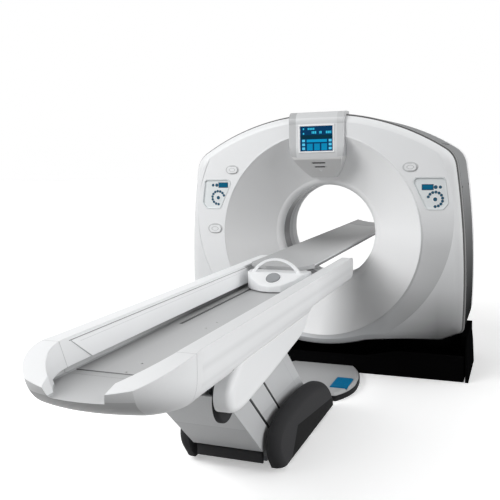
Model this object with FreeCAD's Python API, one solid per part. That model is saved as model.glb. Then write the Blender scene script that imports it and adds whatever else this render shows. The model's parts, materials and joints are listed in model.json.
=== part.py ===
import FreeCAD, Part
import math
import os
from FreeCAD import Vector

# CT scanner: tilting gantry with a flared bore, and its patient table.
# Millimetres, +Z up. The origin is on the floor under the isocentre, X runs across
# the gantry, the bore axis runs along Y, and the table stands on the -Y side.

os.makedirs("parts", exist_ok=True)

# ---------------------------------------------------------------- gantry, driving sizes
ISO_Z = 1017.0              # height of the isocentre and of the tilt axis
HALF_W = 1005.0             # half width of the covers at their widest
TOP_Z = 1877.0              # crown of the covers
FACE_Y = -452.0             # flat face of the front cover
SEAM_Y = -348.0             # rear edge of the front cover
BACK_SEAM_Y = 300.0         # front edge of the rear cover
BACK_Y = 548.0              # flat back of the rear cover
SKIN = 6.0                  # moulded cover thickness
SEAM_GAP = 7.0              # open joint between neighbouring covers
LIP = 1.5                   # edge left standing round the mouth of a flare
SHOULDER = 78.0             # rounding of the front cover's outer edge
BACK_SHOULDER = 110.0       # rounding of the rear cover's outer edge
BORE_R = 350.0              # patient bore
FLARE_R = 718.0             # edge of the flare in the front face
CRESCENT_R = 932.0          # outer arc of the shallow crescent recess
CRESCENT_Z = 1141.0
CRESCENT_DEPTH = 3.0
BORE_FRONT_Y = -151.0       # where the flare meets the bore
WINDOW_END_Y = -22.0        # rear edge of the dark scan window
BORE_BACK_Y = 58.0          # rear edge of the bore ring
BACK_FLARE_R = 610.0
TILT_DEG = 30.0

# ---------------------------------------------------------------- rotor and tilt frame
DRUM_R = 690.0
DRUM_HOLE_R = 400.0
DRUM_Y = (84.0, 112.0)      # front and back of the rotor plate
HUB_R = 438.0
RACE_GAP = 0.5
FRAME_R = 742.0
FRAME_Y = (176.0, 236.0)
BEAM_Y = -86.0              # plane of the x-ray fan
YOKE_X = (742.0, 862.0)     # trunnion blocks of the tilt frame
UPRIGHT_X = (878.0, 946.0)
TRUNNION_R = 45.0
TRUNNION_CLEARANCE = 0.08

# ---------------------------------------------------------------- floor base
BASE_HALF_W = 1000.0
BASE_FRONT_Y = -326.0
BASE_BACK_Y = 470.0
BASE_TOP_Z = 262.0
SWING_MID_R = 940.0         # space the covers sweep as they tilt, under the bore
SWING_SIDE_R = 892.0        # the same, beside the bore
ANCHOR_X = 930.0            # floor anchors, on a rectangle about the origin
ANCHOR_Y = 240.0
ANCHOR_HOLE_R = 11.0

# ---------------------------------------------------------------- table lift
ARM_L = 850.0
ARM_LEAN = 47.0             # degrees from vertical, top towards the foot end
FRONT_PIVOT = (-1980.0, 100.0)
MID_PIVOT = (-1832.0, 100.0)
REAR_PIVOT = (-1400.0, 100.0)
PIVOT_R = 19.0
PIVOT_CLEARANCE = 0.08
ARM_X = (86.0, 112.0)       # each arm is a pair of bars
CHEEK_X = (114.0, 142.0)    # plates that hold the pivot shafts
ACTUATOR_PIVOT = (-1250.0, 90.0)
ACTUATOR_PIN_R = 14.0
ACTUATOR_ON_ARM = 450.0     # distance of its cross tube up the front arm
POD_LIFT = 28.0             # the side covers stand on pads, clear of the floor

# ---------------------------------------------------------------- table top
RIM_Z = 912.0
RIM_HALF_W = 322.0
TOP_UNDER_Z = 722.0
TROUGH_Z = 793.0
TROUGH_HALF_W = 208.0
UNDERCUT = 20.0             # depth and height of the channel under each trough wall
UNDERCUT_END_Y = -3250.0
GANTRY_END_Y = -722.0
TONGUE_START_Y = -3050.0
TONGUE_TIP_Y = -3405.0
CAP_SEAM_Y = -3110.0

# ---------------------------------------------------------------- cradle
CRADLE_HALF_W = 203.0
CRADLE_EDGE_Z = 938.0
CRADLE_DISH = 30.0
CRADLE_EDGE_T = 24.0
CRADLE_FOOT_Y = -1230.0
CRADLE_SEAM_Y = 1560.0
CRADLE_TIP_Y = 1750.0

ISO = Vector(0, 0, ISO_Z)
AXIS_X = Vector(1, 0, 0)
AXIS_Y = Vector(0, 1, 0)
AXIS_Z = Vector(0, 0, 1)


# ---------------------------------------------------------------- helpers
def wire(*legs):
    """Closed wire. A leg is the next point, (point on the way, next point) for an arc,
    or a list of points for a smooth curve through all of them."""
    here = legs[0]
    edges = []
    for leg in legs[1:] + (legs[0],):
        target = leg[-1] if isinstance(leg, (tuple, list)) else leg
        if isinstance(leg, tuple):
            edges.append(Part.Arc(here, leg[0], target).toShape())
        elif isinstance(leg, list):
            curve = Part.BSplineCurve()
            curve.interpolate([here] + leg)
            edges.append(curve.toShape())
        elif not here.isEqual(target, 1e-6):
            edges.append(Part.LineSegment(here, target).toShape())
        here = target
    return Part.Wire(edges)


def xz(x, z, y=0.0):
    return Vector(x, y, z)


def yz(y, z, x=0.0):
    return Vector(x, y, z)


def ry(r, y):
    """Point of a section that is turned about the bore axis."""
    return Vector(r, y, ISO_Z)


def prism(outline, along):
    return Part.Face(outline).extrude(along)


def slab_x(outline_yz, x0, x1):
    """Plate whose outline lies in the YZ plane, from x0 to x1."""
    shape = prism(outline_yz, Vector(x1 - x0, 0, 0))
    shape.translate(Vector(x0, 0, 0))
    return shape


def slab_y(outline_xz, y0, y1):
    """Plate whose outline lies in the XZ plane, from y0 to y1."""
    shape = prism(outline_xz, Vector(0, y1 - y0, 0))
    shape.translate(Vector(0, y0, 0))
    return shape


def turned(section):
    """Solid of revolution about the bore axis."""
    return Part.Face(section).revolve(ISO, AXIS_Y, 360)


def ring_y(r_in, r_out, y0, y1, centre=ISO):
    """Ring or disc on the bore axis, or on a parallel axis."""
    start = Vector(centre.x, y0, centre.z)
    shape = Part.makeCylinder(r_out, y1 - y0, start, AXIS_Y)
    if r_in > 0:
        shape = shape.cut(Part.makeCylinder(r_in, y1 - y0, start, AXIS_Y))
    return shape


def rod_x(r, x0, x1, y, z):
    return Part.makeCylinder(r, x1 - x0, Vector(x0, y, z), AXIS_X)


def box(x0, x1, y0, y1, z0, z1):
    return Part.makeBox(x1 - x0, y1 - y0, z1 - z0, Vector(x0, y0, z0))


def mirrored(shape):
    """The same piece on the other side of the symmetry plane."""
    return shape.mirror(Vector(0, 0, 0), AXIS_X)


def both(shape):
    return Part.makeCompound([shape, mirrored(shape)])


def edges_where(shape, test):
    """Edges all of whose vertices pass the test."""
    return [e for e in shape.Edges if e.Vertexes and all(test(v.Point) for v in e.Vertexes)]


def edges_parallel_y(shape):
    picked = []
    for e in shape.Edges:
        a, b = e.Vertexes[0].Point, e.Vertexes[-1].Point
        if abs(a.x - b.x) < 0.01 and abs(a.z - b.z) < 0.01 and abs(a.y - b.y) > 0.5:
            picked.append(e)
    return picked


def rounded(shape, radius, test):
    return shape.makeFillet(radius, edges_where(shape, test))


def fused(shapes):
    body = shapes[0]
    for other in shapes[1:]:
        body = body.fuse(other)
    return body.removeSplitter()


def save(name, shape):
    shape.exportStep("parts/" + name + ".step")
    solids = shape.Solids
    good = shape.isValid() and len(solids) > 0
    print(f"{name:26s} solids {len(solids):2d} volume {shape.Volume / 1e6:9.3f} l", "" if good else "BAD")


# ---------------------------------------------------------------- gantry covers
def cover_corners():
    """Outline of the covers seen from the front, with sharp corners."""
    bottom = xz(0, 215)
    lobe = xz(330, 266)
    heel = xz(850, 306)
    toe = xz(1000, 372)
    shoulder = xz(936, 1574)

    def other(p):
        return xz(-p.x, p.z)

    return wire(
        bottom,
        (xz(172, 229), lobe),
        (xz(600, 294), heel),
        toe,
        (xz(HALF_W - 1, 900), shoulder),
        (xz(0, TOP_Z), other(shoulder)),
        (xz(1 - HALF_W, 900), other(toe)),
        other(heel),
        (xz(-600, 294), other(lobe)),
        (xz(-172, 229), bottom),
    )


CORNER_RADII = {330: 300.0, 850: 160.0, 1000: 40.0, 936: 170.0}


def cover_face():
    """Outline of the covers with its corners rounded, as a face at y = 0."""
    block = prism(cover_corners(), Vector(0, 50, 0))
    for x, radius in CORNER_RADII.items():
        corner = [e for e in edges_parallel_y(block) if abs(abs(e.Vertexes[0].Point.x) - x) < 0.01]
        block = block.makeFillet(radius, corner)
    return min(block.Faces, key=lambda f: f.CenterOfMass.y)


def with_true_arcs(face):
    """The same outline, with every curved edge as a circular arc through its middle."""
    edges = []
    for e in face.OuterWire.Edges:
        first, last = e.FirstParameter, e.LastParameter
        if isinstance(e.Curve, Part.Line):
            edges.append(Part.LineSegment(e.valueAt(first), e.valueAt(last)).toShape())
        else:
            middle = e.valueAt((first + last) / 2)
            edges.append(Part.Arc(e.valueAt(first), middle, e.valueAt(last)).toShape())
    return Part.Face(Part.Wire(Part.sortEdges(edges)[0]))


def outline_inset(inset):
    face = cover_face()
    return with_true_arcs(face.makeOffset2D(-inset) if inset else face)


def cover_block(inset, y0, y1):
    """Prism of the cover outline from y0 to y1."""
    block = outline_inset(inset).extrude(Vector(0, y1 - y0, 0))
    block.translate(Vector(0, y0, 0))
    return block


def front_block(inset):
    """Front cover's outer form, inset all round, with its rounded shoulder."""
    block = cover_block(inset, FACE_Y + inset, SEAM_Y + (1 if inset else 0))
    return rounded(block, SHOULDER - inset, lambda p: abs(p.y - FACE_Y - inset) < 0.01)


def back_block(inset):
    block = cover_block(inset, BACK_SEAM_Y - (1 if inset else 0), BACK_Y - inset)
    return rounded(block, BACK_SHOULDER - inset, lambda p: abs(p.y - BACK_Y + inset) < 0.01)


def front_funnel():
    """Trumpet from the front face down to the bore, held behind the rim of the front cover."""
    root = FLARE_R + 8
    funnel = turned(wire(
        ry(root, FACE_Y + LIP),
        ry(FLARE_R, FACE_Y + LIP),
        (ry(540, -300), ry(398, -196)),
        (ry(364, -176), ry(BORE_R, BORE_FRONT_Y)),
        ry(BORE_R + SKIN, BORE_FRONT_Y),
        (ry(370, -172), ry(401, -190)),
        (ry(543, -294), ry(root, FACE_Y + SKIN + 5)),
    ))
    rim = ring_y(FLARE_R, root + 1, FACE_Y, FACE_Y + SKIN)
    return funnel.cut(rim).cut(display_block(0.8))


def panel_outline(grow=0.0):
    """Rounded shield of the right control panel."""
    cx, cz = 778.0, 1312.0
    corners = [(674, 1424), (872, 1424), (896, 1250), (862, 1206), (748, 1206), (660, 1396)]
    points = []
    for x, z in corners:
        away = Vector(x - cx, 0, z - cz)
        away.normalize()
        points.append(xz(x + away.x * grow, z + away.z * grow))
    return wire(*points)


def panel_prism(grow, y0, y1, corner):
    block = slab_y(panel_outline(grow), y0, y1)
    return block.makeFillet(corner, edges_parallel_y(block))


def stadium(cx, cz, length, height, y0, y1):
    """Bar with round ends lying along X, extruded along Y."""
    r = height / 2
    half = length / 2 - r
    outline = wire(
        xz(cx - half, cz - r),
        xz(cx + half, cz - r),
        (xz(cx + half + r, cz), xz(cx + half, cz + r)),
        xz(cx - half, cz + r),
        (xz(cx - half - r, cz), xz(cx - half, cz - r)),
    )
    return slab_y(outline, y0, y1)


OVALS = {
    "oval_button_right": (645.0, 1492.0, 80.0, 48.0),
    "oval_button_left": (-645.0, 1492.0, 80.0, 48.0),
    "oval_button_low": (-794.0, 1058.0, 92.0, 56.0),
}
BUTTON_PROUD = 5.0
BUTTON_GAP = 1.0
PANEL_DEPTH = 9.0


DISPLAY_FACE_Y = -466.0
SCREEN_Y = -452.0
SCREEN_HALF_W = 120.0
SCREEN_Z = (1611.0, 1788.0)


def display_outline(grow):
    """Shield of the display housing seen from the front."""
    return wire(
        xz(-199 - grow, 1890 + grow),
        xz(199 + grow, 1890 + grow),
        xz(199 + grow, 1700),
        (xz(174 + grow, 1555), xz(86 + grow, 1425 - grow)),
        (xz(0, 1421 - grow), xz(-86 - grow, 1425 - grow)),
        (xz(-174 - grow, 1555), xz(-199 - grow, 1700)),
    )


def display_side(grow):
    """Side view of the display housing: upright face, chin that follows the flare."""
    return wire(
        yz(-282 - grow, 1424 - grow),
        yz(-446 - grow, 1556),
        (yz(-462 - grow, 1600), yz(DISPLAY_FACE_Y - grow, 1660)),
        yz(DISPLAY_FACE_Y + 4 - grow, 1800),
        (yz(-444, 1868 + grow), yz(-392, 1885 + grow)),
        yz(-322 + grow, 1885 + grow),
        yz(-322 + grow, 1575),
        yz(-205 + grow, 1424 - grow),
    )


def display_block(grow):
    wide = slab_y(display_outline(grow), -520, -150)
    return wide.common(slab_x(display_side(grow), -260, 260))


def front_cover():
    shell = front_block(0).cut(front_block(SKIN))
    shell = shell.cut(ring_y(0, FLARE_R, FACE_Y - 1, SEAM_Y + 2))
    crescent = ring_y(0, CRESCENT_R, FACE_Y - 1, FACE_Y + CRESCENT_DEPTH, Vector(0, 0, CRESCENT_Z))
    crescent = crescent.cut(ring_y(0, FLARE_R + 8, FACE_Y - 2, FACE_Y + 9))
    shell = shell.cut(crescent)
    hole = panel_prism(0.8, FACE_Y - 1, FACE_Y + 40, 26)
    shell = shell.cut(hole).cut(mirrored(hole))
    for cx, cz, length, height in OVALS.values():
        shell = shell.cut(stadium(cx, cz, length + 2, height + 2, FACE_Y - 1, FACE_Y + 20))
    shell = with_leg_slots(shell.removeSplitter(), SEAM_Y - 52, SEAM_Y + 1)
    return shell.cut(display_block(0.8))


def rear_cover():
    shell = back_block(0).cut(back_block(SKIN))
    shell = shell.cut(ring_y(0, BACK_FLARE_R, BACK_SEAM_Y - 2, BACK_Y + 1))
    return with_leg_slots(shell.removeSplitter(), BACK_SEAM_Y - 1, BACK_Y + 1)


def rear_funnel():
    """Wider and plainer trumpet from the bore to the flat back."""
    root = BACK_FLARE_R + 8
    funnel = turned(wire(
        ry(root, BACK_Y - LIP),
        ry(BACK_FLARE_R, BACK_Y - LIP),
        (ry(398, 300), ry(BORE_R, BORE_BACK_Y + 1)),
        ry(BORE_R + SKIN, BORE_BACK_Y + 1),
        (ry(404, 296), ry(root, BACK_Y - SKIN - 5)),
    ))
    return funnel.cut(ring_y(BACK_FLARE_R, root + 1, BACK_Y - SKIN, BACK_Y))


SEAM_Z = 1640.0             # joint between the side covers and the top cover


def belt_cover():
    """Strip of cover between the front and rear covers, all round."""
    strip = cover_block(0, SEAM_Y + SEAM_GAP, BACK_SEAM_Y - SEAM_GAP)
    core = cover_block(SKIN, SEAM_Y, BACK_SEAM_Y)
    return strip.cut(core).cut(box(-900, 900, -400, 400, 150, 420))


def side_cover():
    limit = box(600, 1100, -400, 400, 430, SEAM_Z)
    toe = box(UPRIGHT_X[1] + 12, 1100, -400, 400, 340, 430)
    return belt_cover().common(limit.fuse(toe))


def top_cover():
    limit = box(-1000, 1000, -400, 400, SEAM_Z + 4, 2000)
    return belt_cover().common(limit).cut(display_block(0.8))


def seam_seal(y0, y1):
    """Black rubber channel behind an open joint between covers."""
    outer = cover_block(SKIN + 0.4, y0, y1)
    inner = cover_block(SKIN + 12, y0 - 1, y1 + 1)
    return outer.cut(inner).cut(box(-1100, 1100, y0 - 2, y1 + 2, 150, 430)).cut(display_block(0.8))


def scan_window():
    """Dark band of thin film that the x-ray fan passes through."""
    return ring_y(BORE_R, BORE_R + 2.5, BORE_FRONT_Y + 0.5, WINDOW_END_Y - 0.5)


def bore_ring():
    """Light ring behind the window, with a flange for the rear cover."""
    return turned(wire(
        ry(BORE_R, WINDOW_END_Y),
        ry(BORE_R, BORE_BACK_Y),
        ry(BORE_R + 16, BORE_BACK_Y),
        ry(BORE_R + 16, BORE_BACK_Y - 8),
        ry(BORE_R + 6, BORE_BACK_Y - 8),
        ry(BORE_R + 6, WINDOW_END_Y),
    ))


def control_panel():
    """Shallow tray with a flat floor, set into the front cover."""
    tray = panel_prism(0, FACE_Y, FACE_Y + PANEL_DEPTH + 4, 26)
    return tray.cut(panel_prism(-8, FACE_Y - 1, FACE_Y + PANEL_DEPTH, 20))


KEY_Y = FACE_Y + PANEL_DEPTH
DIAL_R = 48.0
DIALS = [Vector(808, 0, 1276), Vector(-766, 0, 1288)]       # middle of each ring of keys
READOUTS = [Vector(758, 0, 1357), Vector(-724, 0, 1381)]    # small displays above them
READOUT_SIZE = (66.0, 30.0)


def key(x, z, r):
    return ring_y(0, r, KEY_Y - 2.5, KEY_Y, Vector(x, 0, z))


def key_pads():
    """On each panel a ring of round keys with a gap, a middle key and two more above."""
    keys = []
    for dial, readout in zip(DIALS, READOUTS):
        side = 1 if dial.x > 0 else -1
        keys.append(key(dial.x, dial.z, 12))
        keys.append(key(readout.x + side * 52, readout.z, 10))
        keys.append(key(readout.x + side * 82, readout.z, 7))
        for i in range(11):
            a = math.radians(160 - 25 * i)
            keys.append(key(dial.x + side * DIAL_R * math.cos(a), dial.z + DIAL_R * math.sin(a), 7))
    return Part.makeCompound(keys)


def panel_readout(centre):
    half_w, half_h = READOUT_SIZE[0] / 2, READOUT_SIZE[1] / 2
    return box(centre.x - half_w, centre.x + half_w, KEY_Y - 2, KEY_Y, centre.z - half_h, centre.z + half_h)


def display_screens():
    """The main screen and the two small readouts."""
    return Part.makeCompound([display_screen()] + [panel_readout(c) for c in READOUTS])


def display_housing():
    """Bulging case of the gantry display, with its screen recess and a separate chin."""
    body = display_block(0)
    half_w = SCREEN_HALF_W + 0.5
    return body.cut(box(-half_w, half_w, -500, SCREEN_Y + 6, SCREEN_Z[0] - 0.5, SCREEN_Z[1] + 0.5)).cut(chin_space())


def chin_space():
    """Lower part of the housing, below a shallow curve."""
    outline = wire(
        xz(-230, 1400),
        xz(230, 1400),
        xz(230, 1585),
        (xz(0, 1562), xz(-230, 1585)),
    )
    return slab_y(outline, -520, -150)


def display_chin():
    chin = display_block(0).common(chin_space())
    slots = box(-52, 52, -520, -400, 1528, 1533).fuse(box(-40, 52, -520, -366, 1500, 1505))
    return chin.cut(slots)


def display_screen():
    return box(-SCREEN_HALF_W, SCREEN_HALF_W, SCREEN_Y, SCREEN_Y + 6, *SCREEN_Z)


# ---------------------------------------------------------------- rotor
def rotor_drum():
    """Plate with a bearing hub, lightening holes and a toothed-belt rim."""
    plate = ring_y(DRUM_HOLE_R, DRUM_R, *DRUM_Y)
    hub = ring_y(DRUM_HOLE_R, HUB_R, DRUM_Y[1], FRAME_Y[0] + 30)
    rim = ring_y(DRUM_R - 14, DRUM_R, DRUM_Y[1], DRUM_Y[1] + 40)
    body = fused([plate, hub, rim])
    for i in range(8):
        a = math.radians(22.5 + 45 * i)
        spot = Vector(560 * math.cos(a), 0, ISO_Z + 560 * math.sin(a))
        body = body.cut(ring_y(0, 55, DRUM_Y[0] - 1, DRUM_Y[1] + 1, spot))
    return body


def bearing_ring():
    """Outer ring of the main bearing."""
    return ring_y(HUB_R + RACE_GAP, 486, FRAME_Y[0] - 26, FRAME_Y[0])


def at_angle(shape, degrees):
    """Turn a piece about the bore axis."""
    return shape.rotate(ISO, AXIS_Y, degrees)


def xray_tube():
    """Tube housing: a drum along the bore axis with end caps and a port boss."""
    top = ISO_Z + 590
    body = rounded(Part.makeCylinder(96, 240, Vector(0, -170, top), AXIS_Y), 14, lambda p: True)
    flange = Part.makeCylinder(104, 26, Vector(0, -98, top), AXIS_Y)
    foot = box(-90, 90, 30, DRUM_Y[0], top - 80, top + 60)
    return fused([body, flange, foot])


def collimator():
    """Tapered box between the tube port and the bore."""
    half = 24.0
    outline = wire(
        xz(-60, ISO_Z + 484), xz(60, ISO_Z + 484), xz(130, ISO_Z + 424), xz(-130, ISO_Z + 424),
    )
    block = slab_y(outline, BEAM_Y - half, BEAM_Y + half)
    arm = box(-40, 40, BEAM_Y + half, DRUM_Y[0], ISO_Z + 440, ISO_Z + 478)
    return fused([block, arm])


def detector():
    """Curved detector bank opposite the tube, centred on the focal spot."""
    focus = ISO_Z + 540
    y0, y1 = BEAM_Y - 55, BEAM_Y + 55
    inner, outer = 965.0, 1050.0
    centre = Vector(0, 0, focus)
    arc = ring_y(inner, outer, y0, y1, centre)
    spread = 27.0
    reach = 1300.0
    side = reach * math.tan(math.radians(spread))
    wedge = slab_y(wire(xz(0, focus), xz(side, focus - reach), xz(-side, focus - reach)), y0 - 1, y1 + 1)
    bank = arc.common(wedge)
    bracket = box(-150, 150, y1, DRUM_Y[0], ISO_Z - 520, ISO_Z - 470)
    return fused([bank, bracket])


def rotor_box(angle, half_w, r0, r1, depth, corner=12.0):
    """Rounded module bolted to the drum's face at an angle."""
    block = box(-half_w, half_w, DRUM_Y[0] - depth, DRUM_Y[0], ISO_Z + r0, ISO_Z + r1)
    block = block.makeFillet(corner, edges_parallel_y(block))
    return at_angle(block, angle)


def slip_ring():
    """Ring of contact tracks behind the drum."""
    return ring_y(HUB_R - 30, HUB_R, FRAME_Y[0] + 30, FRAME_Y[0] + 90)


def brush_block():
    """Brush holder of the slip ring, on the back of the ring casting."""
    block = box(-60, 60, FRAME_Y[1] - 1, FRAME_Y[1] + 24, ISO_Z + HUB_R + 5, ISO_Z + 560)
    return at_angle(block, 140)


# ---------------------------------------------------------------- tilt frame
def yoke_side():
    """Side view of a trunnion block: nose round the trunnion, root on the ring casting."""
    nose = -90.0
    root = 205.0
    return wire(
        yz(0, ISO_Z + 90),
        yz(FRAME_Y[0], ISO_Z + root),
        yz(FRAME_Y[1], ISO_Z + root),
        yz(FRAME_Y[1], ISO_Z - root),
        yz(FRAME_Y[0], ISO_Z - root),
        yz(0, ISO_Z - 90),
        (yz(nose, ISO_Z), yz(0, ISO_Z + 90)),
    )


def trunnion_pin():
    return rod_x(TRUNNION_R, YOKE_X[1] - 60, UPRIGHT_X[1] + 14, 0, ISO_Z)


def tilt_frame():
    """Ring casting behind the rotor, with a trunnion block on each side."""
    ring = ring_y(HUB_R + 4, FRAME_R, *FRAME_Y)
    groove = ring_y(500, FRAME_R - 40, FRAME_Y[0] - 1, FRAME_Y[0] + 22)
    yoke = slab_x(yoke_side(), YOKE_X[0] - 36, YOKE_X[1])
    body = fused([ring.cut(groove), bearing_ring(), brush_block(), yoke, mirrored(yoke)])
    bore = ring_y(0, HUB_R + 4, FRAME_Y[0] - 1, FRAME_Y[1] + 1)
    belt_slot = slab_y(belt_loop(BELT_T + 8), BELT_Y[0] - 4, BELT_Y[1] + 4)
    return body.cut(bore).cut(trunnion_pin()).cut(mirrored(trunnion_pin())).cut(belt_slot)


MOTOR = Vector(-700, 0, ISO_Z - 500)
PULLEY_R = 60.0
BELT_Y = (DRUM_Y[1] + 6, DRUM_Y[1] + 34)
BELT_GAP = 0.5
BELT_T = 6.0


def belt_loop(grow):
    """Outline of a belt run round the rotor rim and the motor pulley."""
    big = DRUM_R + grow
    small = PULLEY_R + grow
    away = MOTOR - ISO
    span = away.Length
    heading = math.atan2(away.z, away.x)
    lean = math.acos((big - small) / span)

    def on(centre, radius, angle):
        return Vector(centre.x + radius * math.cos(angle), 0, centre.z + radius * math.sin(angle))

    upper, lower = heading + lean, heading - lean
    return wire(
        on(ISO, big, upper),
        (on(ISO, big, heading + math.pi), on(ISO, big, lower)),
        on(MOTOR, small, lower),
        (on(MOTOR, small, heading), on(MOTOR, small, upper)),
    )


def drive_belt():
    outer = slab_y(belt_loop(BELT_GAP + BELT_T), *BELT_Y)
    return outer.cut(slab_y(belt_loop(BELT_GAP), BELT_Y[0] - 1, BELT_Y[1] + 1))


def motor_pulley():
    return fused([
        ring_y(0, PULLEY_R, BELT_Y[0] - 2, BELT_Y[1] + 2, MOTOR),
        ring_y(0, 16, BELT_Y[0] - 30, BELT_Y[0], MOTOR),
    ])


def drive_motor():
    """Motor body with a face bracket that reaches the ring casting."""
    body = ring_y(0, 78, -130, DRUM_Y[0] - 2, MOTOR)
    foot = box(MOTOR.x - 78, MOTOR.x - 20, -60, FRAME_Y[0], MOTOR.z - 92, MOTOR.z - 72)
    arm = box(MOTOR.x - 78, MOTOR.x + 190, FRAME_Y[0] + 24, FRAME_Y[1], MOTOR.z - 92, MOTOR.z + 40)
    link = box(MOTOR.x - 78, MOTOR.x - 20, FRAME_Y[0] - 2, FRAME_Y[1], MOTOR.z - 92, MOTOR.z - 72)
    ring = ring_y(0, FRAME_R + 0.1, FRAME_Y[0] - 1, FRAME_Y[1] + 1)
    return fused([body, foot, link, arm.cut(ring)])


# ---------------------------------------------------------------- standing base
def upright_side():
    """Leg that leans back a little, so that the tilting covers pass in front of it."""
    return wire(
        yz(-86, ISO_Z),
        (yz(0, ISO_Z + 86), yz(86, ISO_Z)),
        yz(125, 240),
        yz(125, 60),
        yz(20, 60),
        yz(20, 250),
    )


def upright():
    leg = slab_x(upright_side(), *UPRIGHT_X)
    bore = rod_x(TRUNNION_R + TRUNNION_CLEARANCE, 800, 1000, 0, ISO_Z)
    window = slab_x(wire(yz(-16, 800), yz(60, 800), yz(86, 330), yz(46, 330)), 860, 960)
    return leg.cut(bore).cut(window)


def with_leg_slots(shell, y0, y1):
    """Cover with slots in its underside, where the uprights pass as it tilts."""
    slot = box(UPRIGHT_X[0] - 12, UPRIGHT_X[1] + 12, y0, y1, 150, 408)
    return shell.cut(slot).cut(mirrored(slot))


def tilt_drive():
    """Flat gear unit on the outer end of a trunnion."""
    case = rod_x(80, UPRIGHT_X[1], UPRIGHT_X[1] + 38, 0, ISO_Z)
    case = case.makeChamfer(8, edges_where(case, lambda p: p.x > UPRIGHT_X[1] + 37))
    return case.cut(rod_x(TRUNNION_R + TRUNNION_CLEARANCE, 900, UPRIGHT_X[1] + 16, 0, ISO_Z))


def swing_space():
    """Volume that the lower edges of the covers pass through."""
    mid, flank = 300.0, 540.0
    cone = Part.makeCone(SWING_MID_R, SWING_SIDE_R, flank - mid, Vector(mid, 0, ISO_Z), AXIS_X)
    return fused([
        rod_x(SWING_SIDE_R, -BASE_HALF_W - 1, BASE_HALF_W + 1, 0, ISO_Z),
        rod_x(SWING_MID_R, -mid, mid, 0, ISO_Z),
        cone,
        mirrored(cone),
    ])


def anchor_points():
    return [(sx * ANCHOR_X, sy * ANCHOR_Y) for sx in (-1, 1) for sy in (-1, 1)]


def base_plinth():
    """Cast base with a dished top, sockets for the uprights and pockets for the anchors."""
    side = wire(
        yz(BASE_FRONT_Y, 0),
        yz(BASE_FRONT_Y, BASE_TOP_Z),
        yz(BASE_BACK_Y, BASE_TOP_Z),
        yz(BASE_BACK_Y, 0),
    )
    body = slab_x(side, -BASE_HALF_W, BASE_HALF_W).cut(swing_space())
    for leg in (upright(), mirrored(upright())):
        body = body.cut(leg)
    for x, y in anchor_points():
        body = body.cut(box(x - 40, x + 80, y - 45, y + 45, 24, 400))
        body = body.cut(Part.makeCylinder(ANCHOR_HOLE_R, 30, Vector(x, y, -1)))
    return body


def base_side_cover():
    """Tapered cover on the side of the base, with a sloping front and back."""
    section = wire(xz(1010, 0), xz(1032, 0), xz(1018, 316), xz(1010, 316))
    block = slab_y(section, BASE_FRONT_Y - 8, 232)
    lugs = [box(BASE_HALF_W, 1012, y, y + 60, 60, 110) for y in (-280, -60, 100)]
    side = wire(
        yz(BASE_FRONT_Y - 8, 0),
        yz(BASE_FRONT_Y - 8, 190),
        (yz(-306, 280), yz(-230, 316)),
        yz(96, 316),
        (yz(170, 250), yz(232, 0)),
    )
    return fused([block.common(slab_x(side, 900, 1100))] + lugs)


TABLE_ANCHORS = [(sx * 60.0, y) for sx in (-1, 1) for y in (-1900.0, -1120.0)]
BAR_Y = (-2120.0, -2100.0)


# ---------------------------------------------------------------- table base
def pivot_rod(radius, x0, x1, pivot):
    return rod_x(radius, x0, x1, pivot[0], pivot[1])


SPINE = (-80, 80, -1060, BASE_FRONT_Y, 0, 12)   # flat bar that ties the two bases together


def table_base():
    """Floor frame with a cheek plate on each side, and the pivot shafts welded into them."""
    floor = box(-CHEEK_X[1], CHEEK_X[1], -1950, -1060, 0, 30)
    outline = wire(
        yz(-1950, 0),
        yz(-1950, 30),
        yz(-2030, 66),
        yz(BAR_Y[1], 70),
        yz(BAR_Y[1], 116),
        (yz(-2040, 140), yz(-1980, 152)),
        yz(-1380, 152),
        (yz(-1330, 138), yz(-1300, 90)),
        yz(-1180, 90),
        yz(-1060, 30),
        yz(-1060, 0),
    )
    cheek = slab_x(outline, *CHEEK_X)
    lug = slab_x(wire(yz(-1300, 10), yz(-1272, 112), (yz(-1250, 124), yz(-1228, 112)), yz(-1200, 10)), 28, 44)
    half_w = CHEEK_X[1] + 6
    stub = pivot_rod(PIVOT_R, ARM_X[0] - 4, half_w, REAR_PIVOT)
    shafts = [
        pivot_rod(PIVOT_R, -half_w, half_w, FRONT_PIVOT),
        stub,
        mirrored(stub),
        pivot_rod(PIVOT_R, -LEAF_X["middle"][1], LEAF_X["middle"][1], MID_PIVOT),
        pivot_rod(ACTUATOR_PIN_R, -50, 50, ACTUATOR_PIVOT),
    ]
    body = fused([floor, cheek, mirrored(cheek), lug, mirrored(lug), box(*SPINE)] + shafts)
    for x, y in TABLE_ANCHORS:
        body = body.cut(Part.makeCylinder(ANCHOR_HOLE_R, 40, Vector(x, y, -1)))
    return body


def front_bar():
    """Cross bar on the noses of the cheek plates, between the side covers."""
    bar = box(-180, 180, *BAR_Y, 62, 122)
    return bar.makeFillet(8, edges_where(bar, lambda p: p.y < BAR_Y[0] + 1))


def pod():
    """Long low side cover on the floor, round-nosed, with a rolled outer shoulder."""
    outline = wire(
        yz(-2050, -90),
        [yz(-2076, 0), yz(-2144, 106), yz(-2134, 190), yz(-2040, 244), yz(-1820, 270),
         yz(-1560, 262), yz(-1350, 226), yz(-1180, 152), yz(-1078, 44), yz(-1050, -90)],
    )
    block = slab_x(outline, 212, 276)
    curved = [e for e in block.Edges if e.Length > 1200 and e.BoundBox.XMin > 275]
    above_floor = box(0, 400, -2400, -800, 0, 400)
    body = block.makeFillet(46, curved).common(above_floor)
    body.translate(Vector(0, 0, POD_LIFT))
    return body


def levelling_pads():
    """Feet under the side covers."""
    places = [(x, y) for x in (-240, 240) for y in (-1960, -1540, -1150)]
    return Part.makeCompound([Part.makeCylinder(20, POD_LIFT, Vector(x, y, 0)) for x, y in places])


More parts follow.
